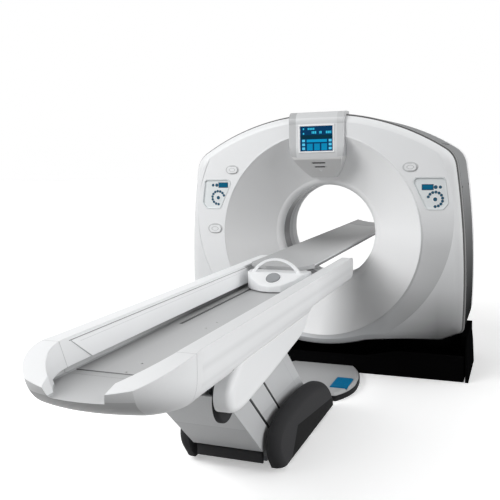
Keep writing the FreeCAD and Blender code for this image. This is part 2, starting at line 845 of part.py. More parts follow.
def tray_outline(grow, z):
    """Plan of the pedal tray: bowed sides and a straight front edge."""
    back = BASE_FRONT_Y - 4
    lean = 0.7 * grow
    return wire(
        Vector(-238 - grow, back, z),
        Vector(238 + grow, back, z),
        (Vector(296 + grow, -470, z), Vector(322 + grow, -640, z)),
        (Vector(316 + grow, -800, z), Vector(250 + lean, -958 - lean, z)),
        Vector(-250 - lean, -958 - lean, z),
        (Vector(-316 - grow, -800, z), Vector(-322 - grow, -640, z)),
        (Vector(-296 - grow, -470, z), Vector(-238 - grow, back, z)),
    )


PEDAL_X = (184.0, 298.0)
PEDAL_Y = (-842.0, -640.0)
PEDAL_Z = 46.0
PEDAL_PIN = Vector(190, 0, 43)      # axis of a pedal's hinge pin
PEDAL_PIN_R = 2.5


def pedal_pin(radius, beyond):
    """Round bar under the inner edge of a pedal, a little longer than the pedal."""
    return ring_y(0, radius, PEDAL_Y[0] - beyond, PEDAL_Y[1] + beyond, PEDAL_PIN)


def pedal_tray():
    """Low plate under the table that carries the foot pedals, sloping to its edges."""
    low = tray_outline(0, 36)
    high = tray_outline(-16, PEDAL_Z + 4)
    slab = prism(tray_outline(0, 12), Vector(0, 0, 24)).fuse(Part.makeLoft([low, high], True, True))
    well = box(PEDAL_X[0] - 2, PEDAL_X[1] + 2, PEDAL_Y[0] - 2, PEDAL_Y[1] + 2, 22, 80)
    well = well.fuse(pedal_pin(PEDAL_PIN_R + 0.06, 7))
    return slab.cut(well).cut(mirrored(well)).removeSplitter()


def tray_edge():
    """Black rubber skirt round the pedal tray."""
    skirt = prism(tray_outline(7, 0), Vector(0, 0, 34)).cut(prism(tray_outline(0.2, -1), Vector(0, 0, 40)))
    return skirt.cut(box(SPINE[0] - 1, SPINE[1] + 1, -1100, BASE_FRONT_Y + 1, -1, SPINE[5] + 0.5))


def pedal():
    """Pedal plate with a hinge pin in a knuckle under its inner edge."""
    section = wire(
        xz(PEDAL_X[0], PEDAL_Z),
        xz(PEDAL_X[0], PEDAL_Z + 9),
        xz(PEDAL_X[0] + 8, PEDAL_Z + 13),
        xz(PEDAL_X[1] - 10, PEDAL_Z + 13),
        xz(PEDAL_X[1], PEDAL_Z + 6),
        xz(PEDAL_X[1], PEDAL_Z),
    )
    plate = slab_y(section, *PEDAL_Y)
    plate = plate.makeFillet(3, edges_where(plate, lambda p: p.z > PEDAL_Z + 12))
    return fused([plate, pedal_pin(4.5, 0), pedal_pin(PEDAL_PIN_R, 6)])


# ---------------------------------------------------------------- lift linkage
LEAN = math.radians(ARM_LEAN)
LEAF_X = {"front": (184.0, 190.0), "middle": (173.0, 179.0), "rear": (162.0, 168.0)}
LEAF_TOP = 800.0            # length of the leaves up from their pivots
REAR_TOP = 690.0            # the same at the rear panel, which must clear the table top
LEAF_GAP = 12.0
LEAF_T = 6.0
FRONT_FOOT_Z = 134.0        # foot of the front panel and its leaves


def on_arm(pivot, along, across):
    """Point of the YZ plane given along an arm and square to it, towards the gantry."""
    y = pivot[0] - along * math.sin(LEAN) + across * math.cos(LEAN)
    z = pivot[1] + along * math.cos(LEAN) + across * math.sin(LEAN)
    return yz(y, z)


def arm_bar(pivot, half_width):
    """Bar with round ends about both pivots."""
    w = half_width
    return wire(
        on_arm(pivot, 0, -w),
        (on_arm(pivot, -w, 0), on_arm(pivot, 0, w)),
        on_arm(pivot, ARM_L, w),
        (on_arm(pivot, ARM_L + w, 0), on_arm(pivot, ARM_L, -w)),
    )


def arm_pair(pivot, half_width, tube_at, tube_r):
    """Two bars joined by a cross tube, bored for the pivot shafts."""
    bar = slab_x(arm_bar(pivot, half_width), *ARM_X)
    tube = on_arm(pivot, tube_at, 0)
    cross = rod_x(tube_r, -ARM_X[0] - 2, ARM_X[0] + 2, tube.y, tube.z)
    body = fused([bar, mirrored(bar), cross])
    for along in (0, ARM_L):
        eye = on_arm(pivot, along, 0)
        body = body.cut(rod_x(PIVOT_R + PIVOT_CLEARANCE, -200, 200, eye.y, eye.z))
    return body


def front_arm():
    return arm_pair(FRONT_PIVOT, 38, ACTUATOR_ON_ARM, 25)


def rear_arm():
    return arm_pair(REAR_PIVOT, 34, 300, 22)


def across(pivot, y_at_pivot):
    """Distance square to the arms of a line that passes the pivot's height at this y."""
    return (y_at_pivot - pivot[0]) * math.cos(LEAN)


LEAF_LINES = (-2100.0, -1908.0, -1678.0, -1230.0)   # edges of the leaves at pivot height


def at_height(pivot, edge, z):
    """Point at height z on the line parallel to the arms at distance edge from the pivot."""
    return on_arm(pivot, (z - pivot[1] - edge * math.sin(LEAN)) / math.cos(LEAN), edge)


def leaf(pivot, levels, from_y, to_y, low_z, far_top):
    """Side leaf: a long plate parallel to the arms, level at its foot."""
    near = across(pivot, from_y)
    far = across(pivot, to_y)
    outline = wire(
        at_height(pivot, near, low_z),
        on_arm(pivot, LEAF_TOP, near),
        on_arm(pivot, far_top, far),
        at_height(pivot, far, low_z),
    )
    return slab_x(outline, *levels)


def front_leaf():
    return leaf(FRONT_PIVOT, LEAF_X["front"], LEAF_LINES[0], LEAF_LINES[1] - LEAF_GAP, FRONT_FOOT_Z, 740)


def rear_leaf():
    return leaf(REAR_PIVOT, LEAF_X["rear"], LEAF_LINES[2] + LEAF_GAP, LEAF_LINES[3], 90, REAR_TOP)


def middle_leaf():
    plate = leaf(MID_PIVOT, LEAF_X["middle"], LEAF_LINES[1] + LEAF_GAP, LEAF_LINES[2] - LEAF_GAP, 60, 740)
    return plate.cut(pivot_rod(PIVOT_R + PIVOT_CLEARANCE, 100, 250, MID_PIVOT))


def cross_panel(pivot, line_y, half_w, low_z, top):
    """Flat panel across the table between two leaves, held to the arms by ribs."""
    edge = across(pivot, line_y)
    step = LEAF_T if edge < 0 else -LEAF_T
    sheet = slab_x(wire(
        at_height(pivot, edge, low_z),
        on_arm(pivot, top, edge),
        on_arm(pivot, top, edge + step),
        at_height(pivot, edge + step, low_z),
    ), -half_w, half_w)
    reach = -34.0 if edge < 0 else 32.0
    rib = slab_x(wire(
        on_arm(pivot, 240, edge + step),
        on_arm(pivot, 620, edge + step),
        on_arm(pivot, 620, reach),
        on_arm(pivot, 240, reach),
    ), ARM_X[0] + 6, ARM_X[1] - 6)
    return sheet, rib


def front_shroud():
    """Front panel with its two side leaves, bent from one sheet."""
    sheet, rib = cross_panel(FRONT_PIVOT, LEAF_LINES[0], LEAF_X["front"][1], FRONT_FOOT_Z, LEAF_TOP - 30)
    leaves = [front_leaf(), mirrored(front_leaf())]
    return fused([sheet, rib, mirrored(rib)] + leaves).cut(front_arm())


def rear_shroud():
    """Rear panel with its two side leaves."""
    sheet, rib = cross_panel(REAR_PIVOT, LEAF_LINES[3], LEAF_X["rear"][1], 174, REAR_TOP - 10)
    leaves = [rear_leaf(), mirrored(rear_leaf())]
    return fused([sheet, rib, mirrored(rib)] + leaves).cut(rear_arm())


def knuckle_cover():
    """Round-nosed cover over the upper end of a front arm."""
    top = on_arm(FRONT_PIVOT, ARM_L, 0)

    def at(y, z):
        return yz(top.y + y, top.z + z)

    outline = wire(
        at(60, -20),
        at(-40, -12),
        [at(-94, -36), at(-114, -96), at(-92, -170), at(-26, -212), at(44, -194), at(84, -130), at(82, -60),
         at(60, -20)],
    )
    block = slab_x(outline, 191, 216)
    return block.makeFillet(10, [e for e in block.Edges if e.BoundBox.XMin > 215])


def actuator_line():
    foot = yz(*ACTUATOR_PIVOT)
    head = on_arm(FRONT_PIVOT, ACTUATOR_ON_ARM, 0)
    along = head - foot
    return foot, head, along.normalize()


def actuator_body():
    """Screw actuator housing with its foot eye."""
    foot, head, along = actuator_line()
    tube = Part.makeCylinder(36, 540, foot + along * 64, along)
    collar = Part.makeCylinder(42, 40, foot + along * 574, along)
    gearbox = Part.makeCylinder(44, 110, foot + along * 64, along)
    neck = Part.makeCylinder(24, 70, foot, along)
    eye = rod_x(26, -26, 26, foot.y, foot.z)
    body = fused([tube, collar, gearbox, neck, eye])
    bore = Part.makeCylinder(19.5, 700, foot + along * 120, along)
    return body.cut(rod_x(ACTUATOR_PIN_R + PIVOT_CLEARANCE, -60, 60, foot.y, foot.z)).cut(bore)


def actuator_rod():
    """Rod whose oversize eye holds the cross tube: here the closed linkage is open."""
    foot, head, along = actuator_line()
    length = (head - foot).Length
    stem = Part.makeCylinder(19, length - 150 - 36, foot + along * 150, along)
    eye = rod_x(46, -22, 22, head.y, head.z)
    return fused([stem, eye]).cut(rod_x(30, -60, 60, head.y, head.z))


# ---------------------------------------------------------------- table top
TOP_BREAK_Y = -1660.0       # the moulding is shallower from here to the gantry
TOP_SHALLOW_Z = 776.0
END_CAP_T = 34.0


def tongue_plan(half_w, tip_y, z, end_y):
    """Plan of the top: parallel sides and a wide rounded tongue at the foot end."""
    shoulder = TONGUE_START_Y
    k = half_w / RIM_HALF_W
    depth = shoulder - tip_y
    return wire(
        Vector(-half_w, end_y, z),
        Vector(half_w, end_y, z),
        Vector(half_w, shoulder, z),
        (Vector(296 * k, shoulder - 0.57 * depth, z), Vector(214 * k, shoulder - 0.87 * depth, z)),
        (Vector(0, tip_y, z), Vector(-214 * k, shoulder - 0.87 * depth, z)),
        (Vector(-296 * k, shoulder - 0.57 * depth, z), Vector(-half_w, shoulder, z)),
    )


def top_form(inset=0.0):
    """Form of the table top before the trough is cut; inset gives the hollow inside it."""
    half_w = RIM_HALF_W - inset
    tip = TONGUE_TIP_Y + inset
    end = GANTRY_END_Y - END_CAP_T - inset
    body = Part.makeLoft([
        tongue_plan(half_w - 40, tip + 130, TOP_UNDER_Z + inset, end),
        tongue_plan(half_w - 12, tip + 50, 770, end),
        tongue_plan(half_w - 4, tip + 12, 830, end),
        tongue_plan(half_w, tip, 960, end),
    ], True, False)
    rim = RIM_Z - inset
    sheer = wire(
        yz(0, 990),
        yz(0, rim),
        yz(-3060, rim),
        (yz(-3240, rim - 24), yz(-3350, rim - 66)),
        (yz(-3400, rim - 100), yz(-3420, rim - 132)),
        yz(-3500, rim - 132),
        yz(-3500, 990),
    )
    deep = TOP_BREAK_Y - 80 - inset
    under = slab_x(wire(
        yz(TOP_BREAK_Y - inset, TOP_SHALLOW_Z + inset),
        (yz(deep + 58, 752 + inset), yz(deep, 715)),
        yz(deep, 600),
        yz(-600, 600),
        yz(-600, TOP_SHALLOW_Z + inset),
    ), -500, 500)
    return body.cut(slab_x(sheer, -500, 500)).cut(under)


def top_hollow():
    """Space inside the moulding, round the trough."""
    return top_form(SKIN).cut(trough(SKIN))


def trough_plan(half_w, lip_half_w, z):
    """Plan of the trough: open at both ends, drawn in at the foot end's lip."""
    return wire(
        Vector(-half_w, 0, z),
        Vector(half_w, 0, z),
        Vector(half_w, -3080, z),
        (Vector(half_w - 26, -3220, z), Vector(lip_half_w, -3330, z)),
        Vector(lip_half_w - 8, -3500, z),
        Vector(8 - lip_half_w, -3500, z),
        Vector(-lip_half_w, -3330, z),
        (Vector(26 - half_w, -3220, z), Vector(-half_w, -3080, z)),
    )


def trough(grow=0.0):
    """Trough with sloping walls, undercut where they meet its floor."""
    walls = Part.makeLoft([
        trough_plan(TROUGH_HALF_W + grow, 112 + grow, TROUGH_Z - grow),
        trough_plan(TROUGH_HALF_W + grow + 44, 156 + grow, TROUGH_Z - grow + 130),
    ], True, True)
    half_w = TROUGH_HALF_W + UNDERCUT + grow
    foot = UNDERCUT_END_Y - grow
    return walls.fuse(box(-half_w, half_w, foot, 0, TROUGH_Z - grow, TROUGH_Z + UNDERCUT + grow))


def table_shell():
    """White moulding of the table top, up to the seam of the foot cap."""
    body = top_form().cut(trough()).cut(top_hollow())
    body = body.cut(box(-500, 500, -3600, CAP_SEAM_Y + 0.3, 600, 1000))
    body = body.cut(table_beam_space())
    for z, depth in ((884.0, 5.0), (846.0, 5.0)):
        groove = Part.makeCylinder(depth, 1100, Vector(RIM_HALF_W + 1, -1822, z), AXIS_Y)
        body = body.cut(groove).cut(mirrored(groove))
    return body.removeSplitter()


def foot_cap():
    """Tongue-shaped cap at the foot end, with the open lip of the trough."""
    body = top_form().cut(trough()).cut(top_hollow())
    return body.common(box(-500, 500, -3600, CAP_SEAM_Y, 600, 1000))


BEAM_HALF_W = 112.0
BEAM_Y0, BEAM_Y1 = -2800.0, -800.0
BEAM_TOP_Z = 784.0


def table_beam_space():
    return box(-BEAM_HALF_W, BEAM_HALF_W, BEAM_Y0 - 1, BEAM_Y1 + 1, 700, BEAM_TOP_Z + 1)


def table_beam():
    """Steel beam under the trough, with cheeks that hold the upper pivot shafts."""
    half_w = BEAM_HALF_W - 0.5
    deep_end = TOP_BREAK_Y - 90
    parts = [
        box(-half_w, half_w, BEAM_Y0, deep_end, TOP_UNDER_Z, BEAM_TOP_Z),
        box(-half_w, half_w, deep_end, BEAM_Y1, TOP_SHALLOW_Z + 1, BEAM_TOP_Z),
    ]
    for pivot in (FRONT_PIVOT, REAR_PIVOT):
        eye = on_arm(pivot, ARM_L, 0)
        cheek = slab_x(wire(
            yz(eye.y - 70, 720),
            yz(eye.y + 70, 720),
            yz(eye.y + 34, eye.z),
            (yz(eye.y, eye.z - 34), yz(eye.y - 34, eye.z)),
        ), *CHEEK_X)
        flange = box(BEAM_HALF_W - 30, CHEEK_X[1], eye.y - 70, eye.y + 70, 718.4, TOP_UNDER_Z - 0.3)
        web = box(BEAM_HALF_W - 30, half_w, eye.y - 70, eye.y + 70, 718.4, TOP_UNDER_Z + 2)
        parts += [cheek, mirrored(cheek), flange, mirrored(flange), web, mirrored(web)]
        parts.append(rod_x(PIVOT_R, -CHEEK_X[1], CHEEK_X[1], eye.y, eye.z))
    return fused(parts)


def trough_floor():
    """Sheet on the floor of the trough, with a long drive slot and a row of holes."""
    sheet = box(-TROUGH_HALF_W + 1, TROUGH_HALF_W - 1, -3066, -740, TROUGH_Z, TROUGH_Z + 3)
    slot = box(-166, -146, -2296, -860, TROUGH_Z - 1, TROUGH_Z + 4)
    sheet = sheet.cut(slot)
    for y in (-3106 + 60, -2930, -2343, -2223):
        sheet = sheet.cut(Part.makeCylinder(5, 10, Vector(0, y, TROUGH_Z - 2)))
    return sheet


def wall_panel():
    """Thin lining of a trough wall."""
    tilt = 44.0 / 130.0
    low, high = TROUGH_Z + UNDERCUT + 2, 898.0
    section = []
    for z, off in ((low, 0.1), (high, 0.1), (high, 3.1), (low, 3.1)):
        section.append(Vector(TROUGH_HALF_W + (z - TROUGH_Z) * tilt - off, 0, z))
    panel = slab_y(wire(*section), -3046, -760)
    foot = wire(yz(-3050, low), yz(-3050, high + 2), yz(-3046, high + 2), yz(-2951, low - 2), yz(-2951, 700),
                yz(-3050, 700))
    return panel.cut(slab_x(foot, 150, 300))


def end_cap():
    """Round-nosed cap on the gantry end of the table top."""
    back = GANTRY_END_Y - END_CAP_T
    section = top_form().common(box(-500, 500, back - END_CAP_T, back, 600, 1000))
    section.translate(Vector(0, END_CAP_T + 0.2, 0))
    side = wire(
        yz(back, TOP_SHALLOW_Z),
        (yz(GANTRY_END_Y - 12, TOP_SHALLOW_Z + 12), yz(GANTRY_END_Y, TOP_SHALLOW_Z + 44)),
        yz(GANTRY_END_Y, RIM_Z - 30),
        (yz(GANTRY_END_Y - 8, RIM_Z - 9), yz(back, RIM_Z)),
    )
    return section.common(slab_x(side, -500, 500)).cut(trough())


def side_fairing():
    """Boat-shaped fairing under the rail, beside the top of the lift."""
    outline = wire(
        yz(-2640, 760),
        [yz(-2726, 706), yz(-2772, 640), yz(-2760, 578), yz(-2690, 546), yz(-2525, 550),
         yz(-2230, 584), yz(-1934, 626), yz(-1760, 668), yz(-1668, 760)],
    )
    block = slab_x(outline, 224, 302)
    curved = [e for e in block.Edges if e.Length > 500 and e.BoundBox.ZMin < 600]
    block = block.makeFillet(30, [e for e in curved if e.BoundBox.XMin > 301])
    return block.cut(top_form())


# ---------------------------------------------------------------- cradle
def cradle_section(y, half_w):
    """Dished top, upright edges and a shallower curved underside."""
    edge = CRADLE_EDGE_Z
    low = edge - CRADLE_EDGE_T
    return wire(
        Vector(-half_w, y, edge),
        (Vector(0, y, edge - CRADLE_DISH), Vector(half_w, y, edge)),
        Vector(half_w, y, low),
        (Vector(0, y, low - CRADLE_DISH), Vector(-half_w, y, low)),
    )


def cradle_length(y0, y1):
    return prism(cradle_section(y0, CRADLE_HALF_W), Vector(0, y1 - y0, 0))


def cradle():
    """Carbon-fibre cradle, with a bow cut into its foot end behind the handle."""
    bow = Part.makeCylinder(150, 200, Vector(0, CRADLE_FOOT_Y - 104, 850), AXIS_Z)
    return cradle_length(CRADLE_FOOT_Y, CRADLE_SEAM_Y).cut(bow)


def cradle_tip():
    """End piece of the cradle, with softly rounded corners."""
    block = cradle_length(CRADLE_SEAM_Y + 1, CRADLE_TIP_Y)
    corners = [
        e for e in block.Edges
        if e.BoundBox.ZLength > 20 and e.BoundBox.XLength < 1 and e.BoundBox.YMin > CRADLE_TIP_Y - 1
    ]
    return block.makeFillet(26, corners)


CARRIAGE_TOP = 892.0
RELEASE_Y = -1394.0
HANDLE_Y = -1352.0


def carriage_plan(inset, z):
    """Plan of the carriage: parallel sides and a blunt pointed nose."""
    back = CRADLE_FOOT_Y - 2
    half = 190 - inset
    nose = [
        Vector(half - 8, -1352, z),
        Vector(half - 52, -1414 + inset * 0.6, z),
        Vector(66 - inset * 0.4, -1466 + inset, z),
        Vector(0, -1480 + inset, z),
    ]
    far = [Vector(-p.x, p.y, z) for p in reversed(nose[:-1])]
    return wire(
        Vector(-half, back, z),
        Vector(half, back, z),
        Vector(half, -1290, z),
        nose + far + [Vector(-half, -1290, z)],
    )


def carriage():
    """Moulded head of the cradle, with a pointed nose towards the foot end."""
    low, edge = TROUGH_Z + 9, CARRIAGE_TOP - 10
    body = prism(carriage_plan(0, low), Vector(0, 0, edge - low))
    crown = Part.makeLoft([carriage_plan(0, edge), carriage_plan(10, CARRIAGE_TOP)], True, True)
    well = Part.makeCylinder(46, 20, Vector(0, RELEASE_Y, CARRIAGE_TOP - 12))
    tongue = box(-160, 160, CRADLE_FOOT_Y - 30, CRADLE_FOOT_Y + 120, low, 900)
    under = prism(cradle_section(CRADLE_FOOT_Y - 10, CRADLE_HALF_W), Vector(0, 200, 0))
    above = box(-300, 300, CRADLE_FOOT_Y - 10, CRADLE_FOOT_Y + 200, CRADLE_EDGE_Z - 30, 990)
    return fused([body, crown, tongue]).cut(well).cut(under).cut(above)


def release_button():
    button = Part.makeCylinder(44.5, 12, Vector(0, RELEASE_Y, CARRIAGE_TOP - 6))
    return button.makeFillet(3, edges_where(button, lambda p: p.z > CARRIAGE_TOP + 1))


def arch_handle():
    """Flat arched band that spans the carriage."""
    y0, y1 = HANDLE_Y - 9, HANDLE_Y + 9
    outer = wire(
        xz(-156, CARRIAGE_TOP),
        xz(156, CARRIAGE_TOP),
        (xz(0, 984), xz(-156, CARRIAGE_TOP)),
    )
    inner = wire(
        xz(-138, CARRIAGE_TOP - 9),
        xz(138, CARRIAGE_TOP - 9),
        (xz(0, 971), xz(-138, CARRIAGE_TOP - 9)),
    )
    return slab_y(outer, y0, y1).cut(slab_y(inner, y0 - 1, y1 + 1))


# ---------------------------------------------------------------- run
def main():
    save("base_plinth", base_plinth())
    save("base_covers", both(base_side_cover()))
    save("uprights", both(upright()))
    save("tilt_drives", both(tilt_drive()))
    save("levelling_pads", levelling_pads())
    save("table_base", table_base())
    save("front_bar", front_bar())
    save("side_pods", both(pod()))
    save("pedal_tray", pedal_tray())
    save("tray_edge", tray_edge())
    save("pedal_right", pedal())
    save("pedal_left", mirrored(pedal()))

    save("tilt_frame", tilt_frame())
    save("trunnion_pins", both(trunnion_pin()))
    save("front_cover", front_cover())
    save("front_funnel", front_funnel())
    save("rear_cover", rear_cover())
    save("rear_funnel", rear_funnel())
    save("side_covers", both(side_cover()))
    save("top_cover", top_cover())
    save("seam_seals", Part.makeCompound([
        seam_seal(SEAM_Y - 14, SEAM_Y + SEAM_GAP + 14),
        seam_seal(BACK_SEAM_Y - SEAM_GAP - 14, BACK_SEAM_Y + 14),
    ]))
    save("scan_window", scan_window())
    save("bore_ring", bore_ring())
    save("display_housing", display_housing())
    save("display_chin", display_chin())
    save("display_screens", display_screens())
    save("control_panels", both(control_panel()))
    save("key_pads", key_pads())
    for name, (cx, cz, length, height) in OVALS.items():
        save(name, stadium(cx, cz, length, height, FACE_Y - BUTTON_PROUD, FACE_Y + 12))
    save("drive_motor", drive_motor())
    save("drive_belt", drive_belt())
    save("motor_pulley", motor_pulley())

    save("rotor_drum", rotor_drum())
    save("xray_tube", xray_tube())
    save("collimator", collimator())
    save("detector", detector())
    save("power_modules", Part.makeCompound([
        rotor_box(82, 150, 470, 650, 230),
        rotor_box(-82, 130, 480, 650, 220),
    ]))
    save("counterweights", Part.makeCompound([
        rotor_box(41, 60, 560, 672, 120),
        rotor_box(-41, 60, 560, 672, 120),
    ]))
    save("slip_ring", slip_ring())

    save("front_arm", front_arm())
    save("front_shroud", front_shroud())
    save("knuckle_covers", both(knuckle_cover()))
    save("middle_leaves", both(middle_leaf()))
    save("rear_arm", rear_arm())
    save("rear_shroud", rear_shroud())
    save("actuator_body", actuator_body())
    save("actuator_rod", actuator_rod())

    save("table_beam", table_beam())
    save("table_shell", table_shell())
    save("foot_cap", foot_cap())
    save("end_cap", end_cap())
    save("trough_lining", Part.makeCompound([trough_floor(), both(wall_panel())]))
    save("side_fairings", both(side_fairing()))

    save("cradle", cradle())
    save("cradle_tip", cradle_tip())
    save("carriage", carriage())
    save("release_button", release_button())
    save("arch_handle", arch_handle())


main()
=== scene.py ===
# %% [markdown]
# # A computed-tomography scanner and its patient table
#
# This lesson dresses a finished CAD model of the scanner. The machine has two halves: the gantry,
# a tall ring of moulded covers that tilts about its own centre, and the table, a long trough on a
# folding lift, with a dished cradle that slides into the bore. The CAD model already holds the
# rigid shapes in metres. Here we add a softer head for the cradle, small trim, finishes, a floor,
# light and a camera.

# %% Load the frame
import json
import math
import bpy
from mathutils import Matrix, Vector


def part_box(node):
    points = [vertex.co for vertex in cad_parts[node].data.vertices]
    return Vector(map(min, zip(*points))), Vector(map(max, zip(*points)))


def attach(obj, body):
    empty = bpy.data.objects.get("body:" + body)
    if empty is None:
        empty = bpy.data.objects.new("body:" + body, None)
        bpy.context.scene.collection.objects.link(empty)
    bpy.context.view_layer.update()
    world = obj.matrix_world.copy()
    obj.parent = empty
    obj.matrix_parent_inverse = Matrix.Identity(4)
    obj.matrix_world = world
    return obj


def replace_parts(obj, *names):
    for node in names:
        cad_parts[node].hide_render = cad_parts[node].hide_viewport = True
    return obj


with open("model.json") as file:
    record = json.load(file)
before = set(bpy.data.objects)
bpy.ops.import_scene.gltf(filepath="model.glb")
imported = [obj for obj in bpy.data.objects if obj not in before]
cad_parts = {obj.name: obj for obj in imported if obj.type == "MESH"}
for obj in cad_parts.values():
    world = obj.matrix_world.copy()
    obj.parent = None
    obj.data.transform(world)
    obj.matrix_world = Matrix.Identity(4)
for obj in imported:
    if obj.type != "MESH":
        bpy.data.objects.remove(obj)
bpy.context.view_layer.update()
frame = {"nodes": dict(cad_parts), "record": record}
nodes = frame["nodes"]

# %% [markdown]
# ## The camera
#
# The picture was taken from eye height, a little to the right of the table's foot end. A camera
# could be aimed with a Track To constraint, but a constraint can't hold the slight roll of a hand
# camera, so its three axes are worked out from yaw, pitch and roll and written into one matrix.

# %% Camera
YAW, PITCH, ROLL = math.radians(21.53), math.radians(7.47), math.radians(-1.29)
EYE = Vector((1.362, -5.219, 1.574))
FOCAL_PIXELS, PICTURE_PIXELS = 699.5, 500
SENSOR_MM = 36
level = math.cos(PITCH)
forward = Vector((-math.sin(YAW) * level, math.cos(YAW) * level, -math.sin(PITCH)))
level_right = forward.cross(Vector((0, 0, 1))).normalized()
level_up = level_right.cross(forward)
right = math.cos(ROLL) * level_right + math.sin(ROLL) * level_up
up = -math.sin(ROLL) * level_right + math.cos(ROLL) * level_up
camera_data = bpy.data.cameras.new("camera")
camera_data.sensor_width = SENSOR_MM
camera_data.lens = FOCAL_PIXELS / PICTURE_PIXELS * SENSOR_MM
camera_data.clip_end = 200
camera = bpy.data.objects.new("camera", camera_data)
bpy.context.scene.collection.objects.link(camera)
aim = Matrix((right, up, -forward)).transposed().to_4x4()
aim.translation = EYE
camera.matrix_world = aim
bpy.context.scene.camera = camera
print("lens in mm:", round(camera_data.lens, 1))

# %% [markdown]
# ## Materials without a spider's web
#
# A procedural finish is a chain of nodes, and chains written node by node are hard to read. One
# small class wraps an output socket, so that plain Python arithmetic adds the Math nodes. Its last
# methods are the masks and ramps that the finishes below are drawn with.

# %% A socket that can do arithmetic
class Value:
    """Output socket of a node; arithmetic on it adds Math nodes."""

    def __init__(self, tree, socket):
        self.tree = tree
        self.socket = socket

    def math(self, operation, *inputs):
        return self.tree.node("ShaderNodeMath", {"operation": operation}, dict(enumerate(inputs)))

    def __add__(self, other):
        return self.math("ADD", self, other)

    def __radd__(self, other):
        return self.math("ADD", other, self)

    def __sub__(self, other):
        return self.math("SUBTRACT", self, other)

    def __rsub__(self, other):
        return self.math("SUBTRACT", other, self)

    def __mul__(self, other):
        return self.math("MULTIPLY", self, other)

    def __rmul__(self, other):
        return self.math("MULTIPLY", other, self)

    def __truediv__(self, other):
        return self.math("DIVIDE", self, other)

    def __lt__(self, other):
        return self.math("LESS_THAN", self, other)

    def __gt__(self, other):
        return self.math("GREATER_THAN", self, other)

    def __abs__(self):
        return self.math("ABSOLUTE", self)

    def __mod__(self, other):
        return self.math("FLOORED_MODULO", self, other)

    def root(self):
        return self.math("SQRT", self)

    def near(self, target, reach):
        """Mask of the places where this value is within reach of a target."""
        return abs(self - target) < reach

    def between(self, low, high):
        return (self > low) * (self < high)

    def clamped(self):
        return self.tree.node("ShaderNodeClamp", {}, {0: self})

    def ramp(self, start, end):
        """0 up to the start, 1 from the end on, and a straight slope between them."""
        return ((self - start) * (1 / (end - start))).clamped()


def distance(across, above):
    """How far a place is from a point, worked out from its two offsets."""
    return (across * across + above * above).root()


print("arithmetic ready")

# %% [markdown]
# ## One method for every node
#
# The second class holds a node tree and has a single method that adds any node: its type, its
# settings, and what its sockets get. One finish is such a tree with a Principled shader, plus the
# few patterns that all the finishes are mixed from.

# %% A node tree and a finish
class Tree:
    """A node tree with one method that adds any node."""

    def __init__(self, node_tree):
        self.node_tree = node_tree

    def feed(self, target, value):
        """Give a socket a link, a colour or a number."""
        if isinstance(value, Value):
            self.node_tree.links.new(value.socket, target)
        elif target.type == "RGBA":
            target.default_value = tuple(value) + (1.0,)
        else:
            target.default_value = value

    def node(self, kind, settings, sockets, output=0):
        """Add a node: its settings first, then its sockets; the chosen output comes back."""
        made = self.node_tree.nodes.new(kind)
        for setting, value in settings.items():
            setattr(made, setting, value)
        for socket, value in sockets.items():
            self.feed(made.inputs[socket], value)
        return Value(self, made.outputs[output]) if made.outputs else None


class Finish(Tree):
    """A material with one Principled shader, whose fixed values are set on its own sockets."""

    def __init__(self, name, **fixed):
        self.material = bpy.data.materials.new(name)
        self.material.use_nodes = True
        super().__init__(self.material.node_tree)
        self.shader = self.node_tree.nodes["Principled BSDF"]
        for socket, value in fixed.items():
            self.set(socket.replace("_", " "), value)

    def set(self, socket, value):
        self.feed(self.shader.inputs[socket], value)

    def place(self):
        return self.node("ShaderNodeTexCoord", {}, {}, "Object")

    def axes(self):
        place = self.place()
        return [self.node("ShaderNodeSeparateXYZ", {}, {0: place}, axis) for axis in "XYZ"]

    def stretched(self, scale):
        """Object coordinates scaled by a different amount along each axis."""
        return self.node("ShaderNodeMapping", {}, {"Vector": self.place(), "Scale": scale})

    def noise(self, scale, detail=3.0, at=None):
        where = at or self.place()
        sockets = {"Vector": where, "Scale": scale, "Detail": detail}
        return self.node("ShaderNodeTexNoise", {}, sockets)

    def mix(self, factor, first, second):
        sockets = {0: factor, 6: first, 7: second}
        return self.node("ShaderNodeMix", {"data_type": "RGBA"}, sockets, 2)

    def tint(self, colour, amount):
        """A colour made lighter and darker by a value round 1."""
        grey = self.node("ShaderNodeCombineXYZ", {}, {0: amount, 1: amount, 2: amount})
        if not isinstance(colour, Value):
            colour = self.node("ShaderNodeCombineXYZ", {}, dict(enumerate(colour)))
        return self.node("ShaderNodeVectorMath", {"operation": "MULTIPLY"}, {0: colour, 1: grey})

    def shade_by(self, tone):
        """Make the recipe's colour lighter and darker from place to place."""
        self.set("Base Color", self.tint(self.colour, tone))

    def rounded(self, radius):
        """Normal of the surface with its sharp edges softened."""
        return self.node("ShaderNodeBevel", {"samples": 4}, {"Radius": radius})

    def facing(self):
        """The true normal of the surface."""
        return self.node("ShaderNodeNewGeometry", {}, {}, "Normal")

    def edges(self, soft, gain):
        """Mask that is 1 along edges, where the softened normal turns from the true one."""
        sockets = {0: soft, 1: self.facing()}
        same = self.node("ShaderNodeVectorMath", {"operation": "DOT_PRODUCT"}, sockets, "Value")
        return ((1 - same) * gain).clamped()

    def bump(self, height, distance, strength=1.0, normal=None):
        sockets = {"Height": height, "Distance": distance, "Strength": strength}
        if normal:
            sockets["Normal"] = normal
        self.set("Normal", self.node("ShaderNodeBump", {}, sockets))


print("node tree and finish ready")

# %% [markdown]
# ## Moulded plastic
#
# The covers are thick vacuum-formed or foamed panels, painted in a satin white. Seen close they
# have a very fine spatter, slow waves in the gloss, and edges that catch the light because every
# corner is rounded. Rounding each edge with a Bevel modifier would multiply the faces; a Bevel
# node bends only the normal. The same edge mask also makes the colour lighter along the edges,
# part wear and part painted highlight. The same recipe, with other colours, makes the grey
# mouldings.

# %% Moulding recipe
WAVES_PER_M, DUST_PER_M, GRAINS_PER_M = 1.6, 38.0, 520.0


